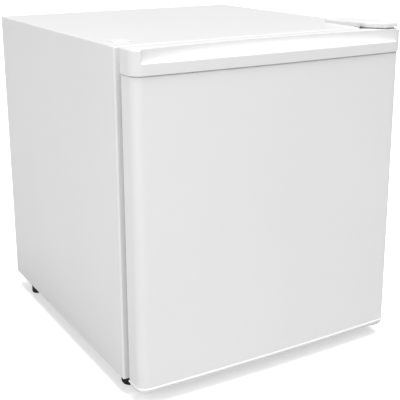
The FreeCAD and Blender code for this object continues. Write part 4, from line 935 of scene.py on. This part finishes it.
# %% [markdown]
# ## The icebox
# The icebox is the evaporator itself: two aluminium sheets rolled together and blown apart along a
# printed line, so a channel stands out on both faces and winds over the floor and one side. The sheet
# is then bent into a box. The channel is a pipe swept through the sheet.

# %% Icebox shell with its blown channel
ice_x0, ice_x1, ice_y0, ice_y1, ice_z0, ice_z1 = extent("icebox_shell")
ice_mm, ice_r = 1.5, 9.0


def ice_ring(inset, y):
    """A ring of the box, drawn in from its outer face."""
    return rectangle(ice_x0 + inset, ice_x1 - inset, ice_z0 + inset, ice_z1 - inset, ice_r - inset, y, "xz",
                     6)


box_sheet = loft("icebox_shell", [ice_ring(ice_mm, ice_y1 - ice_mm), ice_ring(ice_mm, ice_y0 + 0.3),
                                  ice_ring(ice_mm * 0.7, ice_y0), ice_ring(ice_mm * 0.3, ice_y0),
                                  ice_ring(0.0, ice_y0 + 0.3), ice_ring(0.0, ice_y1 - 2),
                                  ice_ring(0.6, ice_y1 - 0.6),
                                  ice_ring(2.0, ice_y1)], "aluminium_sheet")
deep, course = ice_z0 + ice_mm / 2, []
for n in range(7):
    y = ice_y0 + 24 + n * 30
    ends = (ice_x0 + 22, ice_x1 - 22)[:: 1 if n % 2 == 0 else -1]
    course += [(ends[0], y, deep), (ends[1], y, deep)]
floor_channel = pipe("channel", course, 2.3, 14, "aluminium_sheet", 10)
side, course = ice_x1 - ice_mm / 2, []
for n in range(3):
    z = ice_z0 + 22 + n * 25
    ends = (ice_y0 + 22, ice_y1 - 22)[:: 1 if n % 2 == 0 else -1]
    course += [(side, ends[0], z), (side, ends[1], z)]
side_channel = pipe("channel", course, 2.3, 11, "aluminium_sheet", 10)
fitted(joined("icebox_shell_rolled", [box_sheet, floor_channel, side_channel]), "cabinet", "aluminium_sheet",
       "icebox_shell")

# %% Icebox frame
frame_x0, frame_x1, _, frame_y1, frame_z0, frame_z1 = extent("icebox_frame")
flap_axis_y, flap_axis_z, frame_front = -79.5, 431.0, -76.5
profile = [(0.0, frame_y1), (0.0, frame_front + 1), (0.1, frame_front), (0.32, frame_front),
           (0.4, frame_front + 0.8),
           (0.6, frame_front + 0.8), (0.68, frame_front), (0.9, frame_front), (1.0, frame_front + 1),
           (1.0, frame_y1)]
rings = [rectangle(frame_x0 + 13 * s, frame_x1 - 13 * s, frame_z0 + 11 * s, frame_z1 - 17 * s, 5 - s, y,
                   "xz")
         for s, y in profile]
parts = [loft("icebox_frame_moulding", rings, "rack_plastic", looped=True)]
for span in ((frame_x0, frame_x0 + 5), (frame_x1 - 5, frame_x1)):
    ear = block("ear", span, (flap_axis_y - 4, frame_front + 1), (flap_axis_z - 5, flap_axis_z + 5), 1.2,
                "rack_plastic")
    pin_hole = turned("pin_hole", [(1.9, span[0] - 5), (1.9, span[1] + 5)], (0, flap_axis_y, flap_axis_z),
                      "rack_plastic", axis="x", steps=20)
    parts.append(carve(ear, [pin_hole]))
fitted(joined("icebox_frame_moulding", parts), "cabinet", "rack_plastic", "icebox_frame")

# %% [markdown]
# ## The icebox flap
# The flap is a thin moulding stiffened by a raised border and by low ribs across its face, with a barrel
# along its top that turns on two pins and a thin lip to pull at its foot.

# %% Flap with border, ribs, barrel and pull
flap_x0, flap_x1, flap_back, flap_mid = ice_x0 + 2, ice_x1 - 2, flap_axis_y + 1.5, (ice_x0 + ice_x1) / 2
flap_face = flap_axis_y - 0.7
profile = [(0.6, flap_back), (0.0, flap_back - 0.6), (0.0, flap_axis_y - 0.9), (0.6, flap_axis_y - 1.5),
           (5.0, flap_axis_y - 1.5), (6.2, flap_face)]
rings = [rectangle(flap_x0 + i, flap_x1 - i, ice_z0 + i, flap_axis_z - i, max(5 - i, 1.0), y, "xz")
         for i, y in profile]
parts = [loft("icebox_flap_moulding", rings, "rack_plastic")]
rib_seed = block("rib", (-108, 108), (-0.75, 0.75), (-1.1, 1.1), 0.5, "rack_plastic")
parts.append(copies_of(rib_seed, [(flap_mid, flap_face, ice_z0 + 26 + 11 * n) for n in range(6)],
                       "rack_plastic"))
barrel = [(1.8, flap_x0 - 4.8), (1.8, flap_x0), (2.6, flap_x0), (2.6, flap_x1), (1.8, flap_x1),
          (1.8, flap_x1 + 4.8)]
parts.append(turned("barrel", barrel, (0, flap_axis_y, flap_axis_z), "rack_plastic", axis="x", steps=24))
pull_y, pull_z = flap_axis_y - 1.2, ice_z0 + 3
parts.append(block("pull", (flap_mid - 32, flap_mid + 32), (flap_axis_y - 8, pull_y), (pull_z, pull_z + 2.4),
                   1.0,
                   "rack_plastic"))
fitted(joined("icebox_flap_moulding", parts), "icebox_flap", "rack_plastic", "icebox_flap")

# %% [markdown]
# ## The clear drip tray
# A thin clear moulding with a flange down both sides that slides on two rails, and a grip in front. Its
# walls must have a real thickness for light to bend through them, so the rings go up the outside, round
# the flange and down the inside.

# %% Drip tray
tray_x0, tray_x1, tray_y0, tray_y1, tray_low, tray_high = extent("drip_tray")
bowl_x0, bowl_x1, bowl_y0 = tray_x0 + 5, tray_x1 - 5, tray_y0 + 10
profile = [(5.0, 5.0, tray_low), (1.5, 1.5, tray_low + 0.5), (0.4, 0.4, tray_low + 2.5),
           (0.0, 0.0, tray_high - 2.4),
           (-0.4, 0.0, tray_high - 2.0), (-4.6, 0.0, tray_high - 2.0), (-5.0, 0.2, tray_high - 1.6),
           (-5.0, 0.2, tray_high - 0.4), (-4.6, 0.4, tray_high), (1.6, 1.6, tray_high),
           (2.0, 2.0, tray_high - 0.4),
           (2.4, 2.4, tray_low + 4.0), (3.4, 3.4, tray_low + 2.4), (6.5, 6.5, tray_low + 2.0)]
rings = [rectangle(bowl_x0 + i, bowl_x1 - i, bowl_y0 + j, tray_y1 - j, max(5 - max(i, j), 1.0), z)
         for i, j, z in profile]
parts = [loft("clear_drip_tray", rings, "clear_plastic")]
parts.append(block("grip", (flap_mid - 36, flap_mid + 36), (tray_y0, bowl_y0 + 1.0),
                   (tray_high - 2.4, tray_high), 0.8,
                   "clear_plastic"))
fitted(joined("clear_drip_tray", parts), "drip_tray", "clear_plastic", "drip_tray")

# %% [markdown]
# ## The wire shelf
# Steel wire is welded into a grid and dipped in white plastic: a thick rim bent into a rectangle, two
# bars across below, and 23 thin wires from front to back on top. The rim and bars are swept paths. The
# wires are copies of one rod on a line of points.

# %% Wire shelf
rim_r, wire_r, shelf_half = 2.5, 1.6, 174.0
shelf_front, shelf_rear, wires_across = -108.5, 181.5, 23
corners = [(0, shelf_front, shelf_z), (shelf_half, shelf_front, shelf_z), (shelf_half, shelf_rear, shelf_z),
           (-shelf_half, shelf_rear, shelf_z), (-shelf_half, shelf_front, shelf_z)]
parts = [pipe("wire_shelf_grid", corners, rim_r, 12, "coated_wire", looped=True)]
for share in (0.33, 0.67):
    y = shelf_front + share * (shelf_rear - shelf_front)
    bar = [(-shelf_half, y, shelf_z - 0.4), (0, y, shelf_z - 0.4), (shelf_half, y, shelf_z - 0.4)]
    parts.append(pipe("bar", bar, rim_r - 0.3, 1, "coated_wire", 12))
long_wire = [(wire_r * 0.6, 0), (wire_r, 1.0), (wire_r, shelf_rear - shelf_front - 1.0),
             (wire_r * 0.6, shelf_rear - shelf_front)]
wire = turned("wire", long_wire, (0, 0, 0), "coated_wire", axis="y", steps=10)
spots = [(-shelf_half + (n + 1) * 2 * shelf_half / (wires_across + 1), shelf_front, shelf_z + 1.2)
         for n in range(wires_across)]
parts.append(copies_of(wire, spots, "coated_wire"))
fitted(joined("wire_shelf_grid", parts), "wire_shelf", "coated_wire", "wire_shelf", even=False)

# %% [markdown]
# ## The thermostat
# A moulded housing under the cavity's roof holds the switch, and its knob is a short fluted drum with a
# raised bar across it to grip and to point with. The dial's figures, 0 to 7, are printed in grey round
# the knob. They are flat type made into a mesh and stood just off the housing's face.

# %% Housing and figures
stat_x0, stat_x1, stat_y0, stat_y1, stat_low, stat_high = extent("thermostat_housing")
knob_x, knob_z = [sum(extent("thermostat_shaft")[at:at + 2]) / 2 for at in (0, 4)]
outline = [(5.0, 3.2, stat_low), (2.0, 1.5, stat_low + 0.7), (0.6, 0.5, stat_low + 2.5),
           (0.0, 0.0, stat_low + 6),
           (0.0, 0.0, stat_high - 3), (0.6, 0.6, stat_high - 2.6), (0.6, 0.6, stat_high)]
rings = [rectangle(stat_x0 + i, stat_x1 - i, stat_y0 + j, stat_y1 - j, 6 - i, z, steps=5)
         for i, j, z in outline]
housing = loft("thermostat_housing_moulding", rings, "rack_plastic")
shaft_end = extent("thermostat_shaft")[3]
shaft_hole = turned("shaft_hole", [(3.1, stat_y0 - 5), (3.1, shaft_end + 0.5)], (knob_x, 0, knob_z),
                    "rack_plastic",
                    axis="y")
vents = [block("vent", (stat_x0 - 1, stat_x0 + 1.2), (stat_y0 + 34 + 7 * n, stat_y0 + 37 + 7 * n),
               (stat_low + 14, stat_high - 12), 0.4, "rack_plastic") for n in range(6)]
carve(housing, [shaft_hole] + vents)
fitted(housing, "cabinet", "rack_plastic", "thermostat_housing")

figures, marks = [], 8
for n in range(marks):
    turn = math.radians(225 - 270 * n / (marks - 1))
    text = bpy.data.curves.new("figure", "FONT")
    text.body = str(n)
    text.size = 4.6 * MM
    text.align_x = "CENTER"
    text.align_y = "CENTER"
    text.extrude = 0.04 * MM
    flat = bpy.data.objects.new("figure", text)
    bpy.context.scene.collection.objects.link(flat)
    bpy.context.view_layer.update()
    mesh = bpy.data.meshes.new_from_object(flat.evaluated_get(bpy.context.evaluated_depsgraph_get()))
    bpy.data.objects.remove(flat)
    spot = Vector((knob_x + 20.6 * math.cos(turn), stat_y0 - 0.05, knob_z + 20.6 * math.sin(turn))) * MM
    mesh.transform(Matrix.Translation(spot) @ Matrix.Rotation(math.radians(90), 4, "X"))
    mesh.materials.clear()
    mesh.materials.append(finishes["printed_ink"])
    piece = bpy.data.objects.new("figure", mesh)
    bpy.context.scene.collection.objects.link(piece)
    figures.append(piece)
dial = joined("dial_figures", figures)
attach(dial, "cabinet")
print("dial has", marks, "figures")

# %% Knob
knob_x0, knob_x1, knob_y0, knob_y1, knob_low, knob_high = extent("thermostat_knob")
knob_r = (knob_x1 - knob_x0) / 2
skirt, drum, face_y = knob_y1, knob_y1 - 4.0, knob_y0 + 4.0
profile = [(3.1, skirt), (knob_r - 0.4, skirt), (knob_r, skirt - 0.5), (knob_r, skirt - 3.2),
           (knob_r - 0.8, drum),
           (knob_r - 2.8, drum - 0.2), (knob_r - 2.9, drum - 1.0), (knob_r - 3.2, face_y + 1.6),
           (knob_r - 3.7, face_y + 0.5),
           (knob_r - 4.8, face_y), (1.0, face_y + 0.3)]
drum_piece = turned("thermostat_knob_fluted", profile, (knob_x, 0, knob_z), "rack_plastic", axis="y",
                    steps=144,
                    flutes=(24, 0.8, (6, 7)))
bar = block("bar", (knob_x - 2.6, knob_x + 2.6), (knob_y0, face_y + 2), (knob_low + 4.4, knob_high - 4.4),
            1.4, "rack_plastic", 3)
fitted(joined("thermostat_knob_fluted", [drum_piece, bar]), "thermostat_knob", "rack_plastic",
       "thermostat_knob")
pointer = block("knob_pointer", (knob_x - 0.6, knob_x + 0.6), (knob_y0 - 0.02, knob_y0 + 0.6),
                (knob_z + 2, knob_high - 5.6), 0.2,
                "printed_ink")
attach(pointer, "thermostat_knob")
print("knob and pointer ride on thermostat_knob")

# %% [markdown]
# ## The condenser
# The black grid on the back is one steel tube folded into nine level passes, with 31 wires welded on
# each face to spread its heat. The tube is a swept path whose corners the tree rounds to half the pitch,
# so each pair of corners becomes one smooth U-bend. The wires are copies of one rod.

# %% Condenser tube and wires
tube_y0, tube_y1, tube_low = extent("condenser_tube")[2:5]
grid_y, tube_r, pitch, grid_top, passes = (tube_y0 + tube_y1) / 2, 2.4, 30.0, 460.0, 9
riser_x, end_x = 196.0, 180.0
route = [(riser_x, grid_y, tube_low), (riser_x, grid_y, grid_top)]
for n in range(passes):
    here, level = (-end_x, end_x)[n % 2], grid_top - n * pitch
    after = tube_low if n == passes - 1 else level - pitch
    route += [(here, grid_y, level), (here, grid_y, after)]
coil = pipe("condenser_coil", route, tube_r, pitch / 2 - 0.05, "black_enamel", 14)
fitted(coil, "cabinet", "black_enamel", "condenser_tube", even=False)

wire_x0, wire_x1, wire_y0, wire_y1, wire_low, wire_high = extent("condenser_wires")
rod_r, rods = 0.8, 31
rod = turned("rod",
             [(rod_r * 0.6, 0), (rod_r, 0.4), (rod_r, wire_high - wire_low - 0.4),
              (rod_r * 0.6, wire_high - wire_low)],
             (0, 0, 0), "black_enamel", steps=8)
across = [wire_x0 + rod_r + n * (wire_x1 - wire_x0 - 2 * rod_r) / (rods - 1) for n in range(rods)]
spots = [(x, y, wire_low) for y in (wire_y0 + rod_r, wire_y1 - rod_r) for x in across]
wires = copies_of(rod, spots, "black_enamel")
wires.name = "condenser_wire_grid"
fitted(wires, "cabinet", "black_enamel", "condenser_wires", even=False)

# %% Clips that hold the condenser off the back
clip_x0, clip_x1, clip_y0, clip_y1, clip_low, clip_high = extent("condenser_clips")
clip_spots = [(x, 0, z) for x in (clip_x0 + 5, clip_x1 - 5) for z in (clip_low + 9, clip_high - 9)]
parts = [block("clip", (-5, 5), (clip_y0, clip_y0 + 2.4), (-9, 9), 0.8, "black_plastic"),
         block("clip", (-3.4, 3.4), (clip_y0 + 1, clip_y1 - 0.4), (-6, 6), 1.0, "black_plastic")]
for low, high in ((-5.6, -2.2), (2.2, 5.6)):
    parts.append(block("jaw", (-3.4, 3.4), (clip_y1 - 3, clip_y1 + 3.6), (low, high), 0.9, "black_plastic"))
clips = copies_of(joined("clip", parts), clip_spots, "black_plastic")
clips.name = "condenser_clip_set"
fitted(clips, "cabinet", "black_plastic", "condenser_clips")

# %% [markdown]
# ## The compressor
# Two deep-drawn steel cups are pushed together and welded all round, which leaves a proud seam. The
# shell is turned as one profile: rounded foot, straight wall, the seam's lip, then the dome. It is sprayed
# black. A short crimped stub on top is where the makers filled it with refrigerant.

# %% Compressor shell
comp_x0, comp_x1, comp_y0, comp_y1, comp_low, stub_top = extent("compressor_shell")
comp_x, comp_y = (comp_x0 + comp_x1) / 2, (comp_y0 + comp_y1) / 2
comp_r, dome_top, seam_z = 54.0, stub_top - 6.0, 101.4
turns = [math.radians(90 * n / 6) for n in range(7)]
profile = [(comp_r - 16 + 16 * math.sin(t), comp_low + 16 * (1 - math.cos(t))) for t in turns]
profile += [(comp_r, seam_z - 5), (comp_r + 0.9, seam_z - 3.9), (comp_r + 1.9, seam_z - 3.3),
            (comp_r + 1.9, seam_z - 0.9),
            (comp_r + 0.8, seam_z - 0.1), (comp_r - 1.6, seam_z + 0.4), (comp_r - 2.5, seam_z + 1.6)]
profile += [(comp_r - 32.5 + 30 * math.cos(t), dome_top - 30 + 29 * math.sin(t)) for t in turns]
profile += [(10.0, dome_top - 0.2)]
shell = turned("compressor_shell_welded", profile, (comp_x, comp_y, 0), "black_enamel", steps=72)
stub_profile = [(3.2, dome_top - 8), (3.2, stub_top - 3.4), (2.6, stub_top - 2.2), (2.9, stub_top - 1.2),
                (1.4, stub_top)]
stub = turned("stub", stub_profile, (comp_x - 20, comp_y + 18, 0), "black_enamel", steps=20)
fitted(joined("compressor_shell_welded", [shell, stub]), "cabinet", "black_enamel", "compressor_shell")

# %% Relay cover
relay_x1, relay_y0, relay_y1, relay_low, relay_high = extent("relay_cover")[1:]
lid = block("relay_lid", (comp_x + comp_r - 8, relay_x1 - 0.8), (relay_y0, relay_y1),
            (relay_low, relay_high), 4.0,
            "black_plastic", 3)
around = turned("around", [(comp_r + 2.1, relay_low - 5), (comp_r + 2.1, relay_high + 5)],
                (comp_x, comp_y, 0),
                "black_plastic", steps=72)
lid = carve(lid, [around])
rib = block("rib", (relay_x1 - 2, relay_x1), (relay_y0 + 7, relay_y1 - 7), (-1.1, 1.1), 0.7, "black_plastic")
ribs = copies_of(rib, [(0, 0, relay_low + 12 + 8 * n) for n in range(5)], "black_plastic")
fitted(joined("relay_cover_ribbed", [lid, ribs]), "cabinet", "black_plastic", "relay_cover")

# %% Grommets and bolts under the compressor's feet
bolt_x0, bolt_x1, bolt_y0, bolt_y1, bolt_low, bolt_high = extent("compressor_bolts")
foot_spots = [(x, y, 0) for x in (bolt_x0 + 7.5, bolt_x1 - 7.5) for y in (bolt_y0 + 7.5, bolt_y1 - 7.5)]
rubber_low, rubber_high = extent("compressor_grommets")[4:]
profile = [(8.2, rubber_low), (9.0, rubber_low + 1.0), (8.6, rubber_low + 3.0), (8.6, rubber_low + 4.0),
           (9.0, rubber_low + 6.2), (8.4, rubber_low + 7.0), (5.9, rubber_low + 7.0),
           (5.9, rubber_high - 0.8),
           (5.2, rubber_high), (3.6, rubber_high), (3.6, rubber_low)]
grommet = turned("grommet", profile, (0, 0, 0), "black_rubber", steps=28, hollow=True)
grommets = copies_of(grommet, foot_spots, "black_rubber")
grommets.name = "compressor_grommet_set"
fitted(grommets, "cabinet", "black_rubber", "compressor_grommets")
washer = turned("bolt",
                [(7.2, rubber_high), (7.5, rubber_high + 0.3), (7.5, rubber_high + 0.9),
                 (6.8, rubber_high + 1.2)],
                (0, 0, 0), "zinc_steel", steps=28)
hexagon = turned("bolt", [(6.2, rubber_high + 1.1), (6.2, bolt_high - 0.6), (5.2, bolt_high)], (0, 0, 0),
                 "zinc_steel", steps=6)
shank = turned("bolt", [(2.8, bolt_low), (3.5, bolt_low + 1.0), (3.5, rubber_high + 0.5)], (0, 0, 0),
               "zinc_steel", steps=20)
bolts = copies_of(joined("bolt", [washer, hexagon, shank]), foot_spots, "zinc_steel")
bolts.name = "compressor_bolt_set"
fitted(bolts, "cabinet", "zinc_steel", "compressor_bolts")

# %% [markdown]
# ## Refrigerant pipes
# Copper pipe is bent round a former, so each run is straight and each bend has one radius. Hot gas goes
# from the compressor to the condenser, liquid comes back through the dryer, and the cold return pipe and
# the thin capillary pass through the bay's front wall. The dryer is a copper tube necked down at its ends.

# %% Pipes and filter dryer
bay_wall = extent("suction_pipe")[2]
dryer_x0, dryer_x1, dryer_y0, dryer_y1, dryer_low, dryer_high = extent("filter_dryer")
dryer_y, dryer_z, dryer_r = (dryer_y0 + dryer_y1) / 2, (dryer_low + dryer_high) / 2, (dryer_high
        - dryer_low) / 2
valve_z, run_y = 133.0, comp_y + 66
hot = [(comp_x + 12, comp_y + 46, valve_z), (comp_x + 12, run_y, valve_z), (riser_x, run_y, valve_z),
       (riser_x, grid_y, valve_z), (riser_x, grid_y, tube_low)]
fitted(pipe("hot_gas_pipe", hot, tube_r, 9, "copper"), "cabinet", "copper", "discharge_pipe", even=False)
warm = [(-end_x, grid_y, tube_low), (-end_x, grid_y, dryer_z), (-end_x, dryer_y, dryer_z),
        (dryer_x0 + 2, dryer_y, dryer_z)]
fitted(pipe("liquid_return_pipe", warm, tube_r, 9, "copper"), "cabinet", "copper", "liquid_pipe", even=False)
cold_z = comp_low + 118
cold = [(comp_x - 40, comp_y - 30, comp_low + 100), (comp_x - 62, comp_y - 50, cold_z),
        (comp_x - 130, comp_y - 50, cold_z), (comp_x - 130, bay_wall, cold_z)]
fitted(pipe("cold_suction_pipe", cold, 3.2, 12, "copper"), "cabinet", "copper", "suction_pipe", even=False)
thin = [(dryer_x1, dryer_y, dryer_z), (dryer_x1 + 20, dryer_y, dryer_z), (dryer_x1 + 20, bay_wall, dryer_z)]
fitted(pipe("thin_capillary", thin, 1.0, 10, "copper", 10), "cabinet", "copper", "capillary_tube",
       even=False)
neck = [(2.5, 0.0), (3.1, 0.4), (3.1, 6.0), (3.8, 8.0), (6.9, 11.5), (dryer_r, 13.5), (dryer_r, 30.0)]
profile = [(r, dryer_x0 + x) for r, x in neck]
profile += [(max(r * 0.6, 1.6) if x < 7 else r, dryer_x1 - x) for r, x in reversed(neck)]
dryer = turned("filter_dryer_necked", profile, (0, dryer_y, dryer_z), "copper", axis="x", steps=36)
fitted(dryer, "cabinet", "copper", "filter_dryer")

# %% [markdown]
# ## Feet, screws and gland
# The front feet are moulded knobs with flutes to turn them by, each on a threaded stud. The rear feet are
# plain posts. Screws are pan heads with a cross recess. A single screw is made once, cut by two thin
# blocks for its cross, and the tree sets a copy at each hole.

# %% Feet and studs
thread_pitch, thread_root, thread_crest = 1.25, 3.4, 4.0
for side in ("left", "right"):
    x0, x1, y0, y1, low, high = extent(f"front_foot_{side}")
    spot, body = ((x0 + x1) / 2, (y0 + y1) / 2, 0), f"foot_{side}"
    profile = [(8.0, low + 0.6), (8.6, low), (11.6, low), (13.0, low + 1.5), (13.4, low + 4),
               (13.8, low + 7),
               (14.0, high - 5), (14.0, high - 3.6), (12.6, high - 0.6), (11.4, high)]
    knob = turned(f"levelling_foot_{side}", profile, spot, "black_plastic", steps=96,
                  flutes=(16, 1.1, (3, 4, 5, 6)))
    fitted(knob, body, "black_plastic", f"front_foot_{side}")
    low, high = extent(f"foot_stud_{side}")[4:]
    turns_up = int((high - low) / thread_pitch)
    thread = [(thread_root if n % 2 == 0 else thread_crest, low + n * (high - low) / (2 * turns_up))
              for n in range(2 * turns_up + 1)]
    fitted(turned(f"threaded_stud_{side}", thread, spot, "zinc_steel", steps=20), body, "zinc_steel",
           f"foot_stud_{side}",
           even=False)
    x0, x1, y0, y1, low, high = extent(f"rear_foot_{side}")
    profile = [(6.0, low + 0.5), (6.6, low), (7.5, low), (9.0, low + 1.5), (9.0, high - 4), (8.4, high - 3),
               (8.0, high)]
    post = turned(f"rear_post_{side}", profile, ((x0 + x1) / 2, (y0 + y1) / 2, 0), "black_plastic", steps=36)
    fitted(post, "cabinet", "black_plastic", f"rear_foot_{side}")

# %% Hinge screws
screw_r, shank_r = 5.0, 3.2


def pan_head(high, long):
    """A pan-head screw with its seat at 0, its head up and its cross recess cut in."""
    head = turned("screw",
                  [(screw_r, 0), (screw_r, high * 0.35), (screw_r * 0.86, high * 0.8),
                   (screw_r * 0.5, high)],
                  (0, 0, 0), "zinc_steel", steps=32)
    arms = [block("arm", (-2.6, 2.6), (-0.5, 0.5), (high * 0.45, high + 2), 0.1, "zinc_steel"),
            block("arm", (-0.5, 0.5), (-2.6, 2.6), (high * 0.45, high + 2), 0.1, "zinc_steel")]
    body = turned("screw", [(1.6, -long), (shank_r, 1.6 - long), (shank_r, 0.2)], (0, 0, 0), "zinc_steel",
                  steps=20)
    return joined("screw", [carve(head, arms), body])


lowest, highest = extent("hinge_screws")[4:]
plate_top, plate_under = extent("top_hinge_bracket")[5], extent("bottom_hinge_bracket")[5] - 3.0
low_spots = [(hinge_x - 34, wrap_front + 18, plate_under), (hinge_x - 34, wrap_front + 44, plate_under)]
upper = copies_of(pan_head(highest - plate_top, 14.8), [(x, y, plate_top) for x, y in TOP_SCREWS],
                  "zinc_steel")
lower = copies_of(pan_head(plate_under - lowest, 12.0), low_spots, "zinc_steel", turn=(math.pi, 0.0, 0.0))
fitted(joined("cross_head_screws", [upper, lower]), "cabinet", "zinc_steel", "hinge_screws")

# %% Cord gland
gland_x0, gland_x1, gland_y0, gland_y1, gland_low, gland_high = extent("cord_gland")
profile = [(3.6, gland_y0), (5.0, gland_y0), (5.0, gland_y0 + 3.9), (7.4, gland_y0 + 4.0),
           (8.0, gland_y0 + 4.6),
           (8.0, gland_y0 + 5.4), (7.0, gland_y1), (4.4, gland_y1), (3.6, gland_y1 - 0.8)]
gland = turned("moulded_cord_gland", profile, ((gland_x0 + gland_x1) / 2, 0, (gland_low + gland_high) / 2),
               "black_rubber",
               axis="y", steps=36, hollow=True)
fitted(gland, "cabinet", "black_rubber", "cord_gland")
